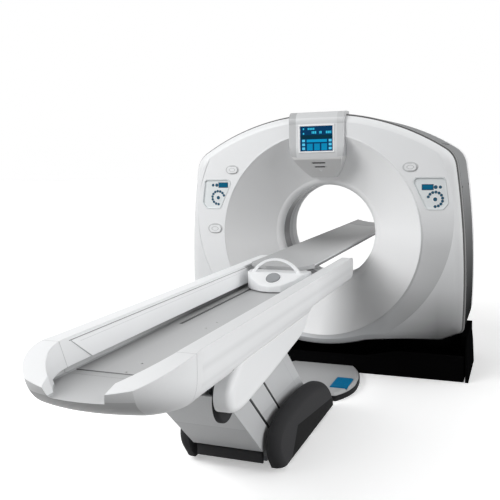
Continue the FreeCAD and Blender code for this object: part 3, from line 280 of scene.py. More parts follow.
def moulded(name, colour, gloss=0.42, grain=0.00012, edge_wear_and_highlight=0.06, specular=0.4, edge_r=0.0022):
    """Satin moulding with fine grain, slow waves in colour and gloss, and edges lightened by wear
    and painted highlight.
    """
    finish = Finish(name, Specular_IOR_Level=specular)
    waves = finish.noise(WAVES_PER_M, 2.0)
    grains = finish.noise(GRAINS_PER_M, 2.0)
    soft = finish.rounded(edge_r)
    edge = finish.edges(soft, 6.0)
    dust = finish.noise(DUST_PER_M, 5.0)
    # Along the edges the colour is lighter: part wear, part painted highlight.
    shade = 1.0 + (waves - 0.5) * 0.035 + (dust - 0.5) * 0.012 + edge * edge_wear_and_highlight
    finish.colour = finish.tint(colour, shade)
    finish.set("Base Color", finish.colour)
    finish.set("Roughness", gloss + (waves - 0.5) * 0.10 + (dust - 0.5) * 0.06)
    finish.bump(grains, grain, 0.6, soft)
    return finish


WHITE = (0.84, 0.85, 0.86)
cover_white = moulded("satin_white_cover", WHITE)
cover_grey = moulded("light_grey_moulding", (0.66, 0.67, 0.68), 0.5)
button_white = moulded("trim_white", (0.86, 0.87, 0.88), 0.35)
head_white = moulded("carriage_white", (0.73, 0.74, 0.75), 0.4)
button_grey = moulded("soft_button_grey", (0.27, 0.28, 0.29), 0.6, 0.0005, 0.06, 0.25)
tray_grey = moulded("pedal_tray_grey", (0.48, 0.485, 0.49), 0.5, 0.0003, 0.15, 0.3)
print("mouldings:", len(bpy.data.materials))

# %% [markdown]
# ## The display's housing
#
# The housing round the big screen is one pale grey moulding. In the photo its two sides and its
# top are darker than its front, more than the lamps here would make them. A lamp just for that
# would disturb the covers round it, so three masks in the finish darken them.

# %% Display housing
HOUSING_HALF_W, HOUSING_TOP_Z = 0.1475, 1.842
housing_grey = moulded("display_housing_grey", (0.70, 0.71, 0.72), 0.45)
x, y, z = housing_grey.axes()
left_side, right_side, top = x < -HOUSING_HALF_W, x > HOUSING_HALF_W, z > HOUSING_TOP_Z
housing_grey.shade_by(1 - (left_side * 0.26 + right_side * 0.12 + top * 0.16).clamped())
print("housing finish ready")

# %% [markdown]
# ## The front cover
#
# The front cover carries a shallow crescent round the flare, with painted shade in it that gets
# darker towards the floor and fades out above the control panels and to the left. The whole cover
# is toned a little darker than the other white covers as painted shade, and more painted shade
# darkens it towards the floor on the right and along its bottom. Its outer edge is a grey trim
# behind a black joint, with painted shade that darkens the trim towards the floor, and a grey line
# is printed round each oval button. These could be loose pieces, but the real cover is one painted
# surface, so they are masks in one finish.

# %% Front cover
CRESCENT_Z, CRESCENT_R = 1.141, 0.9315
BORE_Z, FLARE_R = 1.017, 0.7175
FACE_Y, TRIM_Y, JOINT_END_Y = -0.4480, -0.4160, -0.3970
OVAL_PLACES = ((0.645, 1.492), (-0.645, 1.492), (-0.794, 1.058))
COVER_OVALS = ((0.046, 0.030), (0.046, 0.030), (0.052, 0.034))


def oval_rings(x, z, halves, outer):
    """Mask of a ring round each oval button, from its half width and half height."""
    rings = 0
    for (centre_x, centre_z), (half_w, half_h) in zip(OVAL_PLACES, halves):
        ring = distance((x - centre_x) / half_w, (z - centre_z) / half_h).between(0.80, outer)
        rings = rings + ring
    return rings


def painted_shade_by_height(z):
    """Painted shade that darkens towards the floor, where the sides of the gantry get less light.
    """
    height = z.ramp(0.25, 1.40)
    return height * height.root()


front_white = moulded("front_cover_white", WHITE)
x, y, z = front_white.axes()
inside_edge = distance(x, z - CRESCENT_Z) < CRESCENT_R
crescent = inside_edge * (distance(x, z - BORE_Z) > FLARE_R) * (y < FACE_Y)
# Painted shade in the crescent, darker towards the floor and fading out upwards and to the left.
crescent_painted_shade = z.ramp(1.27, 0.9575) * x.ramp(-0.20, 0.20) * (0.27 + 0.03 * z.ramp(0.95, 0.325))
# Painted shade towards the floor on the right of the cover.
foot_shade = (z.ramp(1.07, 0.67) * 0.32 + z.ramp(0.667, 0.3337) * 0.48) * x.ramp(0.50, 0.8333)
oval_lines = oval_rings(x, z, COVER_OVALS, 1.16)
# The factor 0.93 is painted shade that keeps the whole cover a little darker than the other white
# covers.
tone = 0.93 * (1 - crescent * (crescent_painted_shade - 0.03)) * (1 - oval_lines * 0.30)
# Painted shade along the bottom of the cover, outside the crescent.
tone = tone * (1 - foot_shade) * (1 - z.ramp(0.46, 0.3171) * (1 - crescent) * 0.35)
trim = y > TRIM_Y
# The grey trim gets painted shade towards the floor; the black joint is its own colour.
trim_tone = 0.24 * painted_shade_by_height(z) * (1 - y.between(TRIM_Y, JOINT_END_Y) * 0.95)
front_white.shade_by(tone * (1 - trim) + trim * trim_tone)
print("crescent between radii", FLARE_R, "and", CRESCENT_R)

# %% [markdown]
# ## The flare
#
# The flare that leads into the bore is painted like the cover, but its colour is set lighter:
# painted light for its upper part, which faces down and gets little light. Its left half looks to
# the right, into the low light from that side, and its low right part looks up into the key light.
# Both would come out too bright, so both get painted shade that fades in. A small dot with a dark
# rim marks the bore on the left.

# %% Flare
DOT_Y, DOT_Z, DOT_R, DOT_RIM_R = -0.109, 1.088, 0.0065, 0.0095
# Lighter than the cover's white: painted light for the upper part that faces down.
funnel_white = moulded("flare_white", (0.96, 0.965, 0.97))
x, y, z = funnel_white.axes()
# Painted shade on the left half and on the low right part.
turned_right = x.ramp(0.02, -0.3646)
low_right = z.ramp(1.05, 0.5955) * x.ramp(0, 0.25)
dot_rim = distance(y - DOT_Y, z - DOT_Z).between(DOT_R, DOT_RIM_R) * (x < 0)
funnel_white.shade_by((1 - turned_right * 0.18) * (1 - low_right * 0.36) * (1 - dot_rim * 0.8))
print("flare finish ready")

# %% [markdown]
# ## Oval buttons
#
# Each oval button shows a printed ring. It could be a loose ring in a groove, but the real one is
# only ink. It is an ellipse, so each offset is divided by the ellipse's half size, and the
# distance that comes out is 1 on the line.

# %% Oval buttons
BUTTON_OVALS = ((0.024, 0.013), (0.024, 0.013), (0.028, 0.015))
oval_white = moulded("oval_button_white", (0.80, 0.81, 0.82), 0.35)
x, y, z = oval_white.axes()
oval_white.shade_by(1 - oval_rings(x, z, BUTTON_OVALS, 1.08) * 0.30)
print("oval buttons:", len(OVAL_PLACES))

# %% [markdown]
# ## Control panels
#
# Each control panel is a pale plate under a clear film. Round every key the film carries a dark
# blue disc wider than the raised key, and a dark frame round the small readout. The keys stand on
# an arc, 25 degrees apart, so one remainder on the angle folds all of them onto one key, and a
# single disc then draws the whole arc.

# %% Control panels
PANELS = ((1, 0.808, 1.276, 0.758, 1.357), (-1, -0.766, 1.288, -0.724, 1.381))
KEY_STEP, LAST_KEY = math.radians(25), math.radians(160)
ARC_START, ARC_END = math.radians(-105), math.radians(173)
DIAL_R, KEY_DISC_R, HUB_DISC_R = 0.048, 0.0098, 0.0135
READOUT_HALF_W, READOUT_HALF_H = 0.039, 0.020
SIDE_KEYS = ((0.052, 0.0125), (0.082, 0.0105))
panel_film = moulded("panel_film", (0.74, 0.77, 0.78), 0.35)
x, y, z = panel_film.axes()
printed = 0
for side, dial_x, dial_z, read_x, read_z in PANELS:
    across, above = (x - dial_x) * side, z - dial_z
    radius = distance(across, above)
    angle = above.math("ARCTAN2", above, across)
    folded = (angle - LAST_KEY + KEY_STEP / 2) % KEY_STEP - KEY_STEP / 2
    key_disc = distance(folded * DIAL_R, radius - DIAL_R) < KEY_DISC_R
    printed = printed + key_disc * angle.between(ARC_START, ARC_END) + (radius < HUB_DISC_R)
    sideways, upwards = (x - read_x) * side, z - read_z
    printed = printed + (abs(sideways) < READOUT_HALF_W) * (abs(upwards) < READOUT_HALF_H)
    for key_out, key_r in SIDE_KEYS:
        printed = printed + (distance(sideways - key_out, upwards) < key_r)
panel_blue = (0.006, 0.050, 0.095)
panel_film.set("Base Color", panel_film.mix(printed.clamped(), panel_film.colour, panel_blue))
print("printed discs every", round(math.degrees(KEY_STEP)), "degrees")

# %% [markdown]
# ## Chin and pods
#
# The chin under the display is a darker grained moulding with two speaker slots, drawn near black
# as painted shade for their dark openings.
# The low side covers on the floor are almost black; below their rounded shoulder they turn into an
# undercut side that hardly gets any light, and painted shade darkens it further. A straight line
# over y bounds each of its edges.

# %% Chin and pods
SPEAKER_HALF_H = 0.0043
UPPER_SPEAKER_Z, LOWER_SPEAKER_Z = 1.5305, 1.5025
chin_grey = moulded("chin_grey", (0.74, 0.74, 0.74), 0.55, 0.0003, 0.10, 0.3)
x, y, z = chin_grey.axes()
# The speaker slots are painted shade, near black, for the dark inside of the openings.
upper_slot = z.near(UPPER_SPEAKER_Z, SPEAKER_HALF_H) * (abs(x) < 0.046)
lower_slot = z.near(LOWER_SPEAKER_Z, SPEAKER_HALF_H) * (abs(x) < 0.036)
chin_grey.shade_by(1 - (upper_slot + lower_slot).clamped() * 0.97)


def line_over(y, through_y, through_z, slope):
    """Height of a straight line, from one point of it and its slope."""
    return through_z + (y - through_y) * slope


POD_SIDE_X = 0.262
pod_grey = moulded("dark_grained_moulding", (0.040, 0.040, 0.042), 0.55, 0.0004, 0.35, 0.02)
x, y, z = pod_grey.axes()
under_shoulder = z < line_over(y, -1.831, 0.169, -0.1194)
behind_nose = z < line_over(y, -1.941, 0.021, 1.345)
# Painted shade on the undercut outer side, below the shoulder and behind the nose.
pod_grey.shade_by(1 - (abs(x) > POD_SIDE_X) * under_shoulder * behind_nose * 0.80)
print("chin and pods ready")

# %% [markdown]
# ## Painted steel
#
# The lift's leaves, the black base and the side covers are sheet or cast metal under paint.
# Sprayed paint has orange peel: a shallow ripple a few millimetres across, under a clear gloss.
# It is one noise in the bump, with a finer one for the tooth of the paint.

# %% Paint recipe
RIPPLES_PER_M, TEETH_PER_M, PATCHES_PER_M = 160.0, 900.0, 4.0


def painted(name, colour, gloss=0.38, peel=0.00010, specular=0.5, edge_wear_and_highlight=0.10):
    """Sprayed paint with orange peel, slow patches in its gloss, and edges lightened by wear and
    painted highlight.
    """
    finish = Finish(name, Specular_IOR_Level=specular)
    ripple = finish.noise(RIPPLES_PER_M, 1.5)
    tooth = finish.noise(TEETH_PER_M, 1.0)
    patches = finish.noise(PATCHES_PER_M, 4.0)
    soft = finish.rounded(0.0016)
    edge = finish.edges(soft, 5.0)
    # Along the edges the colour is lighter: part wear, part painted highlight.
    finish.colour = finish.tint(colour, 1.0 + (patches - 0.5) * 0.06 + edge * edge_wear_and_highlight)
    finish.set("Base Color", finish.colour)
    finish.set("Roughness", gloss + (patches - 0.5) * 0.12)
    finish.bump(ripple * 0.8 + tooth * 0.2, peel, 0.5, soft)
    return finish


frame_paint = painted("machine_grey_paint", (0.20, 0.21, 0.23), 0.48, 0.00016)
tube_metal = painted("tube_grey_paint", (0.55, 0.56, 0.58), 0.40)
base_black = painted("black_gloss_paint", (0.0035, 0.0035, 0.0038), 0.34, 0.00006, 0.0, 1.5)
print("plain paints ready")

# %% [markdown]
# ## Leaves and side covers
#
# The leaves on the lift's sides lean by 47 degrees, and the spaces between them are deep, so
# painted shadow makes them black. Along a leaning line, y plus the height times the tangent of the
# lean stays the same, so one comparison on that sum draws the line. A Mapping node could turn the
# pattern instead, but then no number in it would be a place on the machine. On the front panel,
# painted light makes the part above its fold a little lighter, and painted shade darkens the fold
# and a pressed line across the leaves. The side covers of the gantry have a black joint at the
# front and a seam further back, and painted shade darkens them towards the floor.

# %% Leaves and side covers
PIVOT_Z, LEAN = 0.100, math.tan(math.radians(47))
PANEL_HALF_W, CREASE_Z, LEAF_X = 0.182, 0.318, 0.150
GAP_YS, GAP_HALF_W, PRESSED_Y = (-1.900, -1.670), 0.0195, -1.330
leaf_grey = painted("leaf_grey_paint", (0.56, 0.57, 0.58), 0.42, specular=0.35)
x, y, z = leaf_grey.axes()
on_panel, on_leaf = abs(x) < PANEL_HALF_W, abs(x) > LEAF_X
# Painted shade in the fold of the front panel, and painted light on the part above it.
crease = (y < -2.2) * z.near(CREASE_Z, 0.0025) * on_panel
painted_light_above_fold = (z > CREASE_Z) * on_panel
lean_y = y + (z - PIVOT_Z) * LEAN
# Painted shadow blackens the deep spaces between the leaves; painted shade darkens a pressed line.
painted_gap_shadow = (lean_y.near(GAP_YS[0], GAP_HALF_W) + lean_y.near(GAP_YS[1], GAP_HALF_W)) * on_leaf
pressed = lean_y.near(PRESSED_Y, 0.0016) * on_leaf
leaf_grey.shade_by((1 + painted_light_above_fold * 0.10 - crease * 0.12 - pressed * 0.22) * (1 - painted_gap_shadow * 0.97))

SIDE_JOINT_Y, SIDE_SEAM_YS = -0.332, (0.288, 0.301)
side_grey = painted("side_grey_paint", (0.34, 0.345, 0.35), 0.42, specular=0.0)
x, y, z = side_grey.axes()
seam = (y < SIDE_JOINT_Y) + y.between(*SIDE_SEAM_YS)
# Painted shade darkens the side covers towards the floor; the joint and seam are dark joints of
# their own.
side_grey.shade_by(painted_shade_by_height(z) * (1 - seam * 0.95))
print("lean of the leaves:", round(LEAN, 4))

# %% [markdown]
# ## The table top's white moulding
#
# The moulding has a seam where the foot cap begins and rims that catch the light, so its edges are
# rounder than those of the gantry and are lightened more, part wear and part painted highlight.
# Below the trough's floor sheet it is black in the drive slot, in the holes and in the channel
# along the foot of each wall: painted shadow, because no light gets in there. The floor of the
# foot cap is greyer, most of all under the left wall, where that is painted shade. Painted shade
# darkens the underside of the foot cap and two soft ribs along the sides, painted light makes the
# side near the camera a little lighter, and painted shade darkens it near the gantry.

# %% White moulding
CAP_Y, CAP_SEAM_Y = -3.06, -3.110
FLOOR_HALF_W, SIDE_X = 0.2086, 0.28
SLOT_X, SLOT_HALF_W, SLOT_ENDS = -0.156, 0.0101, (-2.297, -0.859)
SHEET_HALF_W, UNDER_SHEET = 0.2075, (0.790, 0.7945)
CHANNEL_W, CHANNEL_H, CHANNEL_ENDS = (FLOOR_HALF_W, 0.232), (0.790, 0.8145), (-3.24, -0.73)
WALL_PANEL_Z, UPPER_RIB_Z, LOWER_RIB_Z = 0.8992, 0.842, 0.775
SIDE_DOT_Y, SIDE_DOT_Z, SIDE_DOT_R = -2.715, 0.730, 0.0070
shell_white = moulded("table_top_white", WHITE, edge_r=0.0050, edge_wear_and_highlight=0.14)
x, y, z = shell_white.axes()
out = abs(x)
cap_seam = y.near(CAP_SEAM_Y, 0.0016)
drive_slot = x.near(SLOT_X, SLOT_HALF_W) * y.between(*SLOT_ENDS)
holes = (out < 0.006) * (y > CAP_Y)
under_sheet = z.between(*UNDER_SHEET) * (out < SHEET_HALF_W) * (drive_slot + holes).clamped()
channel = out.between(*CHANNEL_W) * z.between(*CHANNEL_H) * y.between(*CHANNEL_ENDS)
channel = channel * (0.38 + 0.62 * y.ramp(-2.75, -1.9808))
panel_line = z.near(WALL_PANEL_Z, 0.0014) * (out < 0.262) * (y > -3.052)
# Painted shadow in the drive slot, the holes and the channel, where no light gets in.
dark = (cap_seam * 0.35 + under_sheet * 0.95 + channel * 0.84 + panel_line * 0.75).clamped()
# The foot cap's floor is greyer, with painted shade that deepens it under the left wall.
tongue = (out < FLOOR_HALF_W) * z.between(0.740, 0.800) * (y < CAP_Y)
tongue_tone = 0.42 + 0.20 * x.ramp(0.12, -0.1925) - y.ramp(CAP_Y, -3.6156) * 0.34
# Painted shade on the faces of the foot cap that look down, and along two soft ribs of the side.
facing_z = shell_white.node("ShaderNodeSeparateXYZ", {}, {0: shell_white.facing()}, "Z")
underside = facing_z.ramp(-0.05, -0.8833) * y.ramp(-3.00, -3.3333)
upper_rib = abs(z - UPPER_RIB_Z).ramp(0.022, 0)
lower_rib = abs(z - LOWER_RIB_Z).ramp(0.016, 0)
ribs = (upper_rib * 0.089 + lower_rib * 0.067) * (out > 0.285) * (y > CAP_Y)
# Painted light on the side near the camera, less on its faces that look up; painted shade near the
# gantry.
near_side = x.ramp(0.10, 0.2667) * y.ramp(-3.40, -3.00) * y.ramp(-0.90, -1.5667)
near_gantry = y.ramp(-1.60, -0.7667) * (x > 0.2)
dot = (distance(y - SIDE_DOT_Y, z - SIDE_DOT_Z) < SIDE_DOT_R) * (out > SIDE_X)
shell_tone = (1 - dark) * (1 - tongue * tongue_tone) * (1 - underside * 0.72) * (1 - ribs)
shell_tone = shell_tone * (1 + near_side * (0.14 - facing_z.ramp(0.3, 0.8) * 0.27))
shell_white.shade_by(shell_tone * (1 - near_gantry * 0.26) * (1 - dot * 0.9))
print("foot cap begins at y", CAP_Y)

# %% [markdown]
# ## The trough's lining
#
# The lining is light grey on the walls and darker on the floor, most of all under the left wall,
# where painted shade stands for the wall's shadow. Painted shade darkens a thin pressed line along
# the top of each wall panel, and the panels end in a slanting edge towards the foot.

# %% Trough lining
TROUGH_FLOOR_Z, SHEET_END_Y, PRESSED_Z = 0.7966, -3.0625, 0.884
WALL_END_Y, WALL_TOP_Z, WALL_END_SLANT = -3.0475, 0.900, 1.138
lining_grey = painted("trough_lining_grey", (0.90, 0.91, 0.92), 0.40, specular=0.35)
x, y, z = lining_grey.axes()
on_floor = z < TROUGH_FLOOR_Z
# Painted shade along the pressed line.
pressed = z.near(PRESSED_Z, 0.0008) * (y > -2.99)
wall_end = WALL_END_Y + (WALL_TOP_Z - z) * WALL_END_SLANT
foot_edge = (y - wall_end).near(0, 0.0035) * (1 - on_floor)
sheet_end = on_floor * (y < SHEET_END_Y)
# Painted shade deepens the floor's tone under the left wall.
floor_tone = 0.44 + 0.16 * x.ramp(0.12, -0.1925) + 0.18 * x.ramp(-0.10, -0.2111)
floor_tone = floor_tone - 0.06 * y.ramp(-3.05, -0.8278)
lines = pressed * 0.25 + foot_edge * 0.45 + sheet_end * 0.5
lining_grey.shade_by((1 - on_floor * floor_tone) * (1 - lines))
print("trough floor at z", TROUGH_FLOOR_Z)

# %% [markdown]
# ## Bare metals
#
# Shafts are ground, so their fine lines run round the axis; the rotor's plate is milled; the
# balance weights are rough castings; the contact tracks are turned brass. Each is the same metal
# shader with another pattern: noise squeezed along one axis gives lines, plain noise gives sand.

# %% Metal recipe
STAINS_PER_M = 9.0
TRACK_STEP, TRACK_GAP = 0.010, 0.0022


def metal(name, colour, roughness, lines, height=0.00004):
    """Bare metal whose machining marks are noise stretched by the three scales in lines."""
    finish = Finish(name, Metallic=1.0)
    marks = finish.noise(1.0, 4.0, finish.stretched(lines))
    stains = finish.noise(STAINS_PER_M, 5.0)
    soft = finish.rounded(0.0012)
    edge = finish.edges(soft, 4.0)
    finish.set("Base Color", finish.tint(colour, 0.97 + (stains - 0.5) * 0.14 + edge * 0.12))
    finish.set("Roughness", roughness + (marks - 0.5) * 0.18 + (stains - 0.5) * 0.10)
    finish.bump(marks, height, 0.7, soft)
    return finish


bright_steel = metal("ground_steel", (0.62, 0.63, 0.65), 0.28, (900, 40, 40))
rotor_metal = metal("milled_aluminium", (0.70, 0.71, 0.73), 0.36, (60, 700, 60))
cast_weight = metal("bare_casting", (0.22, 0.22, 0.22), 0.62, (260, 260, 260), 0.0005)
slip_brass = metal("turned_brass", (0.78, 0.62, 0.32), 0.30, (20, 1400, 20))
x, y, z = slip_brass.axes()
slip_brass.set("Metallic", 1 - (y % TRACK_STEP < TRACK_GAP))
print("metals ready")

# %% [markdown]
# ## Rubber and film
#
# Rubber is almost black and scatters light in a broad dull sheen. The scan window is a thin dark
# plastic band that x-rays pass through, smoother than anything round it, with one black notch.

# %% Rubber and window film
NOTCH_Y, NOTCH_Z = -0.012, 1.039
rubber_black = Finish("black_rubber", Specular_IOR_Level=0.06)
rubber_bloom = rubber_black.noise(24.0, 6.0)
rubber_black.set("Base Color", rubber_black.tint((0.020, 0.020, 0.021), 0.8 + rubber_bloom * 0.5))
rubber_black.set("Roughness", 0.62 + (rubber_bloom - 0.5) * 0.2)
rubber_black.bump(rubber_black.noise(700.0, 2.0), 0.0003, 0.6)

window_film = Finish("scan_window_film", Specular_IOR_Level=0.5)
film_waves = window_film.noise(7.0, 2.0)
x, y, z = window_film.axes()
notch = (x < 0) * y.near(NOTCH_Y, 0.014) * z.near(NOTCH_Z, 0.020)
film_tone = (0.9 + film_waves * 0.2) * (1 - notch * 0.95)
window_film.set("Base Color", window_film.tint((0.16, 0.16, 0.17), film_tone))
window_film.set("Roughness", 0.34 + (film_waves - 0.5) * 0.08)
window_film.bump(film_waves, 0.0004, 0.3)
print("rubber and film ready")

# %% [markdown]
# ## The cradle
#
# The cradle is carbon fibre under a grey coat. Through the coat its weave shows faintly: two sets
# of tows a few millimetres wide, crossing at right angles. A fold over each tow, one set along
# each axis, and a repeated square that says which set lies on top give that weave. Along the
# upright edges a pale strip of painted highlight lies above a dark strip of painted shade. The tip
# begins at a bowed seam and is a little darker, and painted shade darkens the cradle towards the
# gantry, where it goes into the bore.

# %% Woven cradle
TOW = 0.0032
EDGE_X, STRIP_Z = 0.2015, 0.9285
TIP_Y, TIP_BOW = 1.400, 1.6
cradle_grey = Finish("coated_carbon_weave", Specular_IOR_Level=0.12, Coat_Roughness=0.3)
x, y, z = cradle_grey.axes()
across_tow = abs((x % TOW) / TOW - 0.5)
along_tow = abs((y % TOW) / TOW - 0.5)
on_top = ((x / (2 * TOW)) % 1.0 > 0.5) * ((y / (2 * TOW)) % 1.0 > 0.5)
weave = on_top * across_tow + (1 - on_top) * along_tow
slow = cradle_grey.noise(3.0, 3.0)
# Painted highlight on the pale strip and painted shade on the dark strip along the edges.
beside = abs(x) > EDGE_X
painted_edge_light_and_shade = beside * (z > STRIP_Z) * 0.45 - beside * (z < STRIP_Z) * 0.55
bowed_y = y + x * x * TIP_BOW
shade = (1.0 + (slow - 0.5) * 0.06) * (1 - weave * 0.10) * (1 + painted_edge_light_and_shade)
shade = shade * (1 - (bowed_y > TIP_Y) * 0.20) * (1 - bowed_y.near(TIP_Y, 0.012) * 0.45)
# Painted shade towards the gantry, where the cradle goes into the bore.
shade = shade * (1 - y.ramp(-0.60, 0.5111) * 0.36)
cradle_grey.set("Base Color", cradle_grey.tint((0.46, 0.465, 0.47), shade))
cradle_grey.set("Roughness", 0.40 + weave * 0.15 + (slow - 0.5) * 0.08)
cradle_grey.set("Coat Weight", 0.02 + slow * 0.04)
cradle_grey.bump(weave, 0.0001, 0.5, cradle_grey.rounded(0.0022))
print("tow width in mm:", TOW * 1000)

# %% [markdown]
# ## The screens
#
# The large screen shows a dark readout area above, a bright band, three soft keys and a column of
# small marks on each side; the two small readouts only glow blue. A picture would need a file, so
# the layout is drawn by rectangles: each is the product of two comparisons on x and z, and the
# marks are rectangles repeated by a modulo. The colours also glow a little, as lit screens do.

# %% Screen layout
screen_blue = Finish("lit_screen", Specular_IOR_Level=0.04, Emission_Strength=0.90)
x, y, z = screen_blue.axes()


def patch(centre_x, centre_z, half_w, half_h):
    """Mask of an upright rectangle on the screen."""
    return x.near(centre_x, half_w) * z.near(centre_z, half_h)


READOUTS_BELOW_Z = 1.5
MARK_STEP, DIGIT_STEP, LINE_STEP = 0.0270, 0.013, 0.011
readout_zone = patch(0, 1.712, 0.115, 0.013)
band = patch(0, 1.6850, 0.073, 0.0095)
soft_keys = patch(-0.0505, 1.642, 0.0205, 0.0235) + patch(0.0015, 1.642, 0.0205, 0.0235)
soft_keys = soft_keys + patch(0.0535, 1.642, 0.0205, 0.0235)
mark_rows = ((z - 1.6185) % MARK_STEP).near(MARK_STEP / 2, 0.0085)
marks = (patch(-0.096, 1.657, 0.0105, 0.040) + patch(0.096, 1.657, 0.0105, 0.040)) * mark_rows
figures = patch(-0.040, 1.7675, 0.026, 0.0065) + patch(-0.018, 1.7425, 0.018, 0.0085)
figures = figures + patch(0.028, 1.7425, 0.010, 0.0085) + patch(0.086, 1.7425, 0.020, 0.0085)
small_marks = patch(-0.0955, 1.7675, 0.005, 0.006) + patch(-0.0955, 1.7355, 0.005, 0.006)
figures = (figures * (x % DIGIT_STEP < 0.0095) + small_marks).clamped()
small_readout = z < READOUTS_BELOW_Z
readout_lines = small_readout * (z % LINE_STEP > 0.0075)

# %% [markdown]
# ## The screens' colours
#
# The masks are laid over the dark ground one after the other, each with its own blue, as a painter
# would: what comes later covers what came before.

# %% Screen colours
ground = (0.0015, 0.040, 0.115)
layers = (
    (readout_zone, (0.001, 0.030, 0.052)),
    (small_readout, (0.003, 0.095, 0.185)),
    (readout_lines * 0.5, (0.01, 0.15, 0.26)),
    (band, (0.004, 0.300, 0.560)),
    (soft_keys, (0.003, 0.235, 0.450)),
    (marks, (0.10, 0.56, 0.82)),
    (figures, (0.04, 0.52, 0.76)),
)
for mask, colour in layers:
    ground = screen_blue.mix(mask, ground, colour)
pixels = screen_blue.noise(900.0, 1.0)
lit = screen_blue.tint(ground, 0.94 + pixels * 0.12)
screen_blue.set("Base Color", screen_blue.tint(lit, 0.10 + pixels * 0.05))
screen_blue.set("Emission Color", lit)
screen_blue.set("Roughness", 0.22 + pixels * 0.06)
print("screen layers:", len(layers))

# %% [markdown]
# ## Keys and pedals
#
# The keys of the side panels are printed membrane bumps, deep blue; the foot pedals are bright
# blue plastic, scuffed in the middle where shoes land. The scuff is a noise that only counts near
# the middle of the pedal.

# %% Key and pedal finishes
PEDAL_MIDDLE_Y = -0.741
key_blue = moulded("key_blue", (0.012, 0.085, 0.150), 0.30, 0.00008, 0.3, 0.25)
pedal_blue = moulded("pedal_blue", (0.002, 0.165, 0.340), 0.42, 0.0003, 0.25, 0.18)
x, y, z = pedal_blue.axes()
worn = abs(y - PEDAL_MIDDLE_Y).ramp(0.09, 0.0186) * (pedal_blue.noise(70.0, 6.0) > 0.56)
pedal_blue.shade_by(1 + worn * 0.22)
pedal_blue.set("Roughness", 0.36 + worn * 0.22)
print("keys and pedals ready")

# %% [markdown]
# ## Handing out the finishes
#
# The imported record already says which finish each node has, by the name of its slot. Looking the
# finish up by that name keeps the picture and the record in step. A few nodes have a finish of
# their own, with the marks that only they carry.

# %% Finish for each slot
finishes = {
    "cover_white": cover_white, "cover_grey": cover_grey, "panel_grey": panel_film,
    "side_grey": side_grey, "chin_grey": chin_grey, "key_blue": key_blue, "key_white": oval_white,
    "screen_blue": screen_blue, "window_film": window_film, "pod_grey": pod_grey,
    "leaf_grey": leaf_grey, "base_black": base_black, "frame_paint": frame_paint,
    "bright_steel": bright_steel, "rotor_metal": rotor_metal, "tube_metal": tube_metal,
    "cast_weight": cast_weight, "slip_brass": slip_brass, "rubber_black": rubber_black,
    "pedal_blue": pedal_blue, "lining_grey": lining_grey, "cradle_grey": cradle_grey,
    "button_grey": button_grey,
}
own_finish = {
    "front_cover": front_white, "front_funnel": funnel_white, "top_cover": side_grey,
    "display_housing": housing_grey, "table_shell": shell_white, "foot_cap": shell_white,
    "end_cap": shell_white, "side_fairings": shell_white, "pedal_tray": tray_grey,
    "uprights": base_black,
}
slot_of = {part["node"]: part["material_slot"] for part in frame["record"]["subparts"]}
for name, node in nodes.items():
    chosen = own_finish.get(name) or finishes[slot_of[name]]
    node.material_slots[0].material = chosen.material
print("dressed", len(nodes), "nodes")

# %% [markdown]
# ## Modelling by hand, in code
#
# The new pieces are modelled with the same operators as by hand. Operators act on whatever is
# selected, so the first helper clears the selection, the second selects faces by where they are
# and which way they look, and the last one applies the object's placement and gives it a body.

# %% Selection and finishing helpers
def begin():
    if bpy.context.mode != "OBJECT":
        bpy.ops.object.mode_set(mode="OBJECT")
    bpy.ops.object.select_all(action="DESELECT")


def select_faces(test):
    """Edit the active object with only those faces selected that pass the test."""
    bpy.ops.object.mode_set(mode="EDIT")
    bpy.ops.mesh.select_all(action="DESELECT")
    bpy.ops.mesh.select_mode(type="FACE")
    bpy.ops.object.mode_set(mode="OBJECT")
    for face in bpy.context.object.data.polygons:
        face.select = test(face.center, face.normal)
    bpy.ops.object.mode_set(mode="EDIT")


def stand_on(place, normal):
    """Move the active object to a place and turn its z axis into the normal there."""
    turn = normal.to_track_quat("Z", "Y").to_matrix().to_4x4()
    bpy.context.object.matrix_world = Matrix.Translation(place) @ turn


def settle(name, finish, body, smooth=40):
    """Apply placement, shade, dress and hand the active object to a body."""
    bpy.ops.object.mode_set(mode="EDIT")
    bpy.ops.mesh.select_all(action="SELECT")
    bpy.ops.mesh.remove_doubles(threshold=0.00001)
    bpy.ops.mesh.normals_make_consistent(inside=False)
    bpy.ops.object.mode_set(mode="OBJECT")
    bpy.ops.object.transform_apply(location=True, rotation=True, scale=True)
    bpy.ops.object.shade_smooth_by_angle(angle=math.radians(smooth))
    piece = bpy.context.object
    piece.name = name
    piece.data.materials.clear()
    piece.data.materials.append(finish.material)
    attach(piece, body)
    print(name, "faces:", len(piece.data.polygons))
    return piece


# %% [markdown]
# ## The frame round the screen
#
# A pale trim frame stands round the screen and hides the joint between glass and housing. It
# starts as a plane as large as the frame, gets an inset for the opening, loses the middle, and
# the band that is left is extruded towards the viewer and bevelled.

# %% Screen frame
SCREEN_HALF_W, SCREEN_LOW, SCREEN_HIGH = 0.120, 1.611, 1.788
FRAME_Y, FRAME_OUT, FRAME_BAND, FRAME_DEPTH = -0.4575, 0.008, 0.010, 0.0112
begin()
frame_place = (0, FRAME_Y, (SCREEN_LOW + SCREEN_HIGH) / 2)
frame_w = 2 * (SCREEN_HALF_W + FRAME_OUT)
frame_h = SCREEN_HIGH - SCREEN_LOW + 2 * FRAME_OUT
bpy.ops.mesh.primitive_plane_add(size=1, location=frame_place, rotation=(math.radians(90), 0, 0))
bpy.ops.object.transform_apply(location=False, rotation=True, scale=False)
bpy.context.object.scale = (frame_w, 1, frame_h)
bpy.ops.object.transform_apply(location=False, rotation=False, scale=True)
select_faces(lambda centre, normal: True)
bpy.ops.mesh.inset(thickness=FRAME_BAND)
bpy.ops.mesh.delete(type="FACE")
bpy.ops.mesh.select_all(action="SELECT")
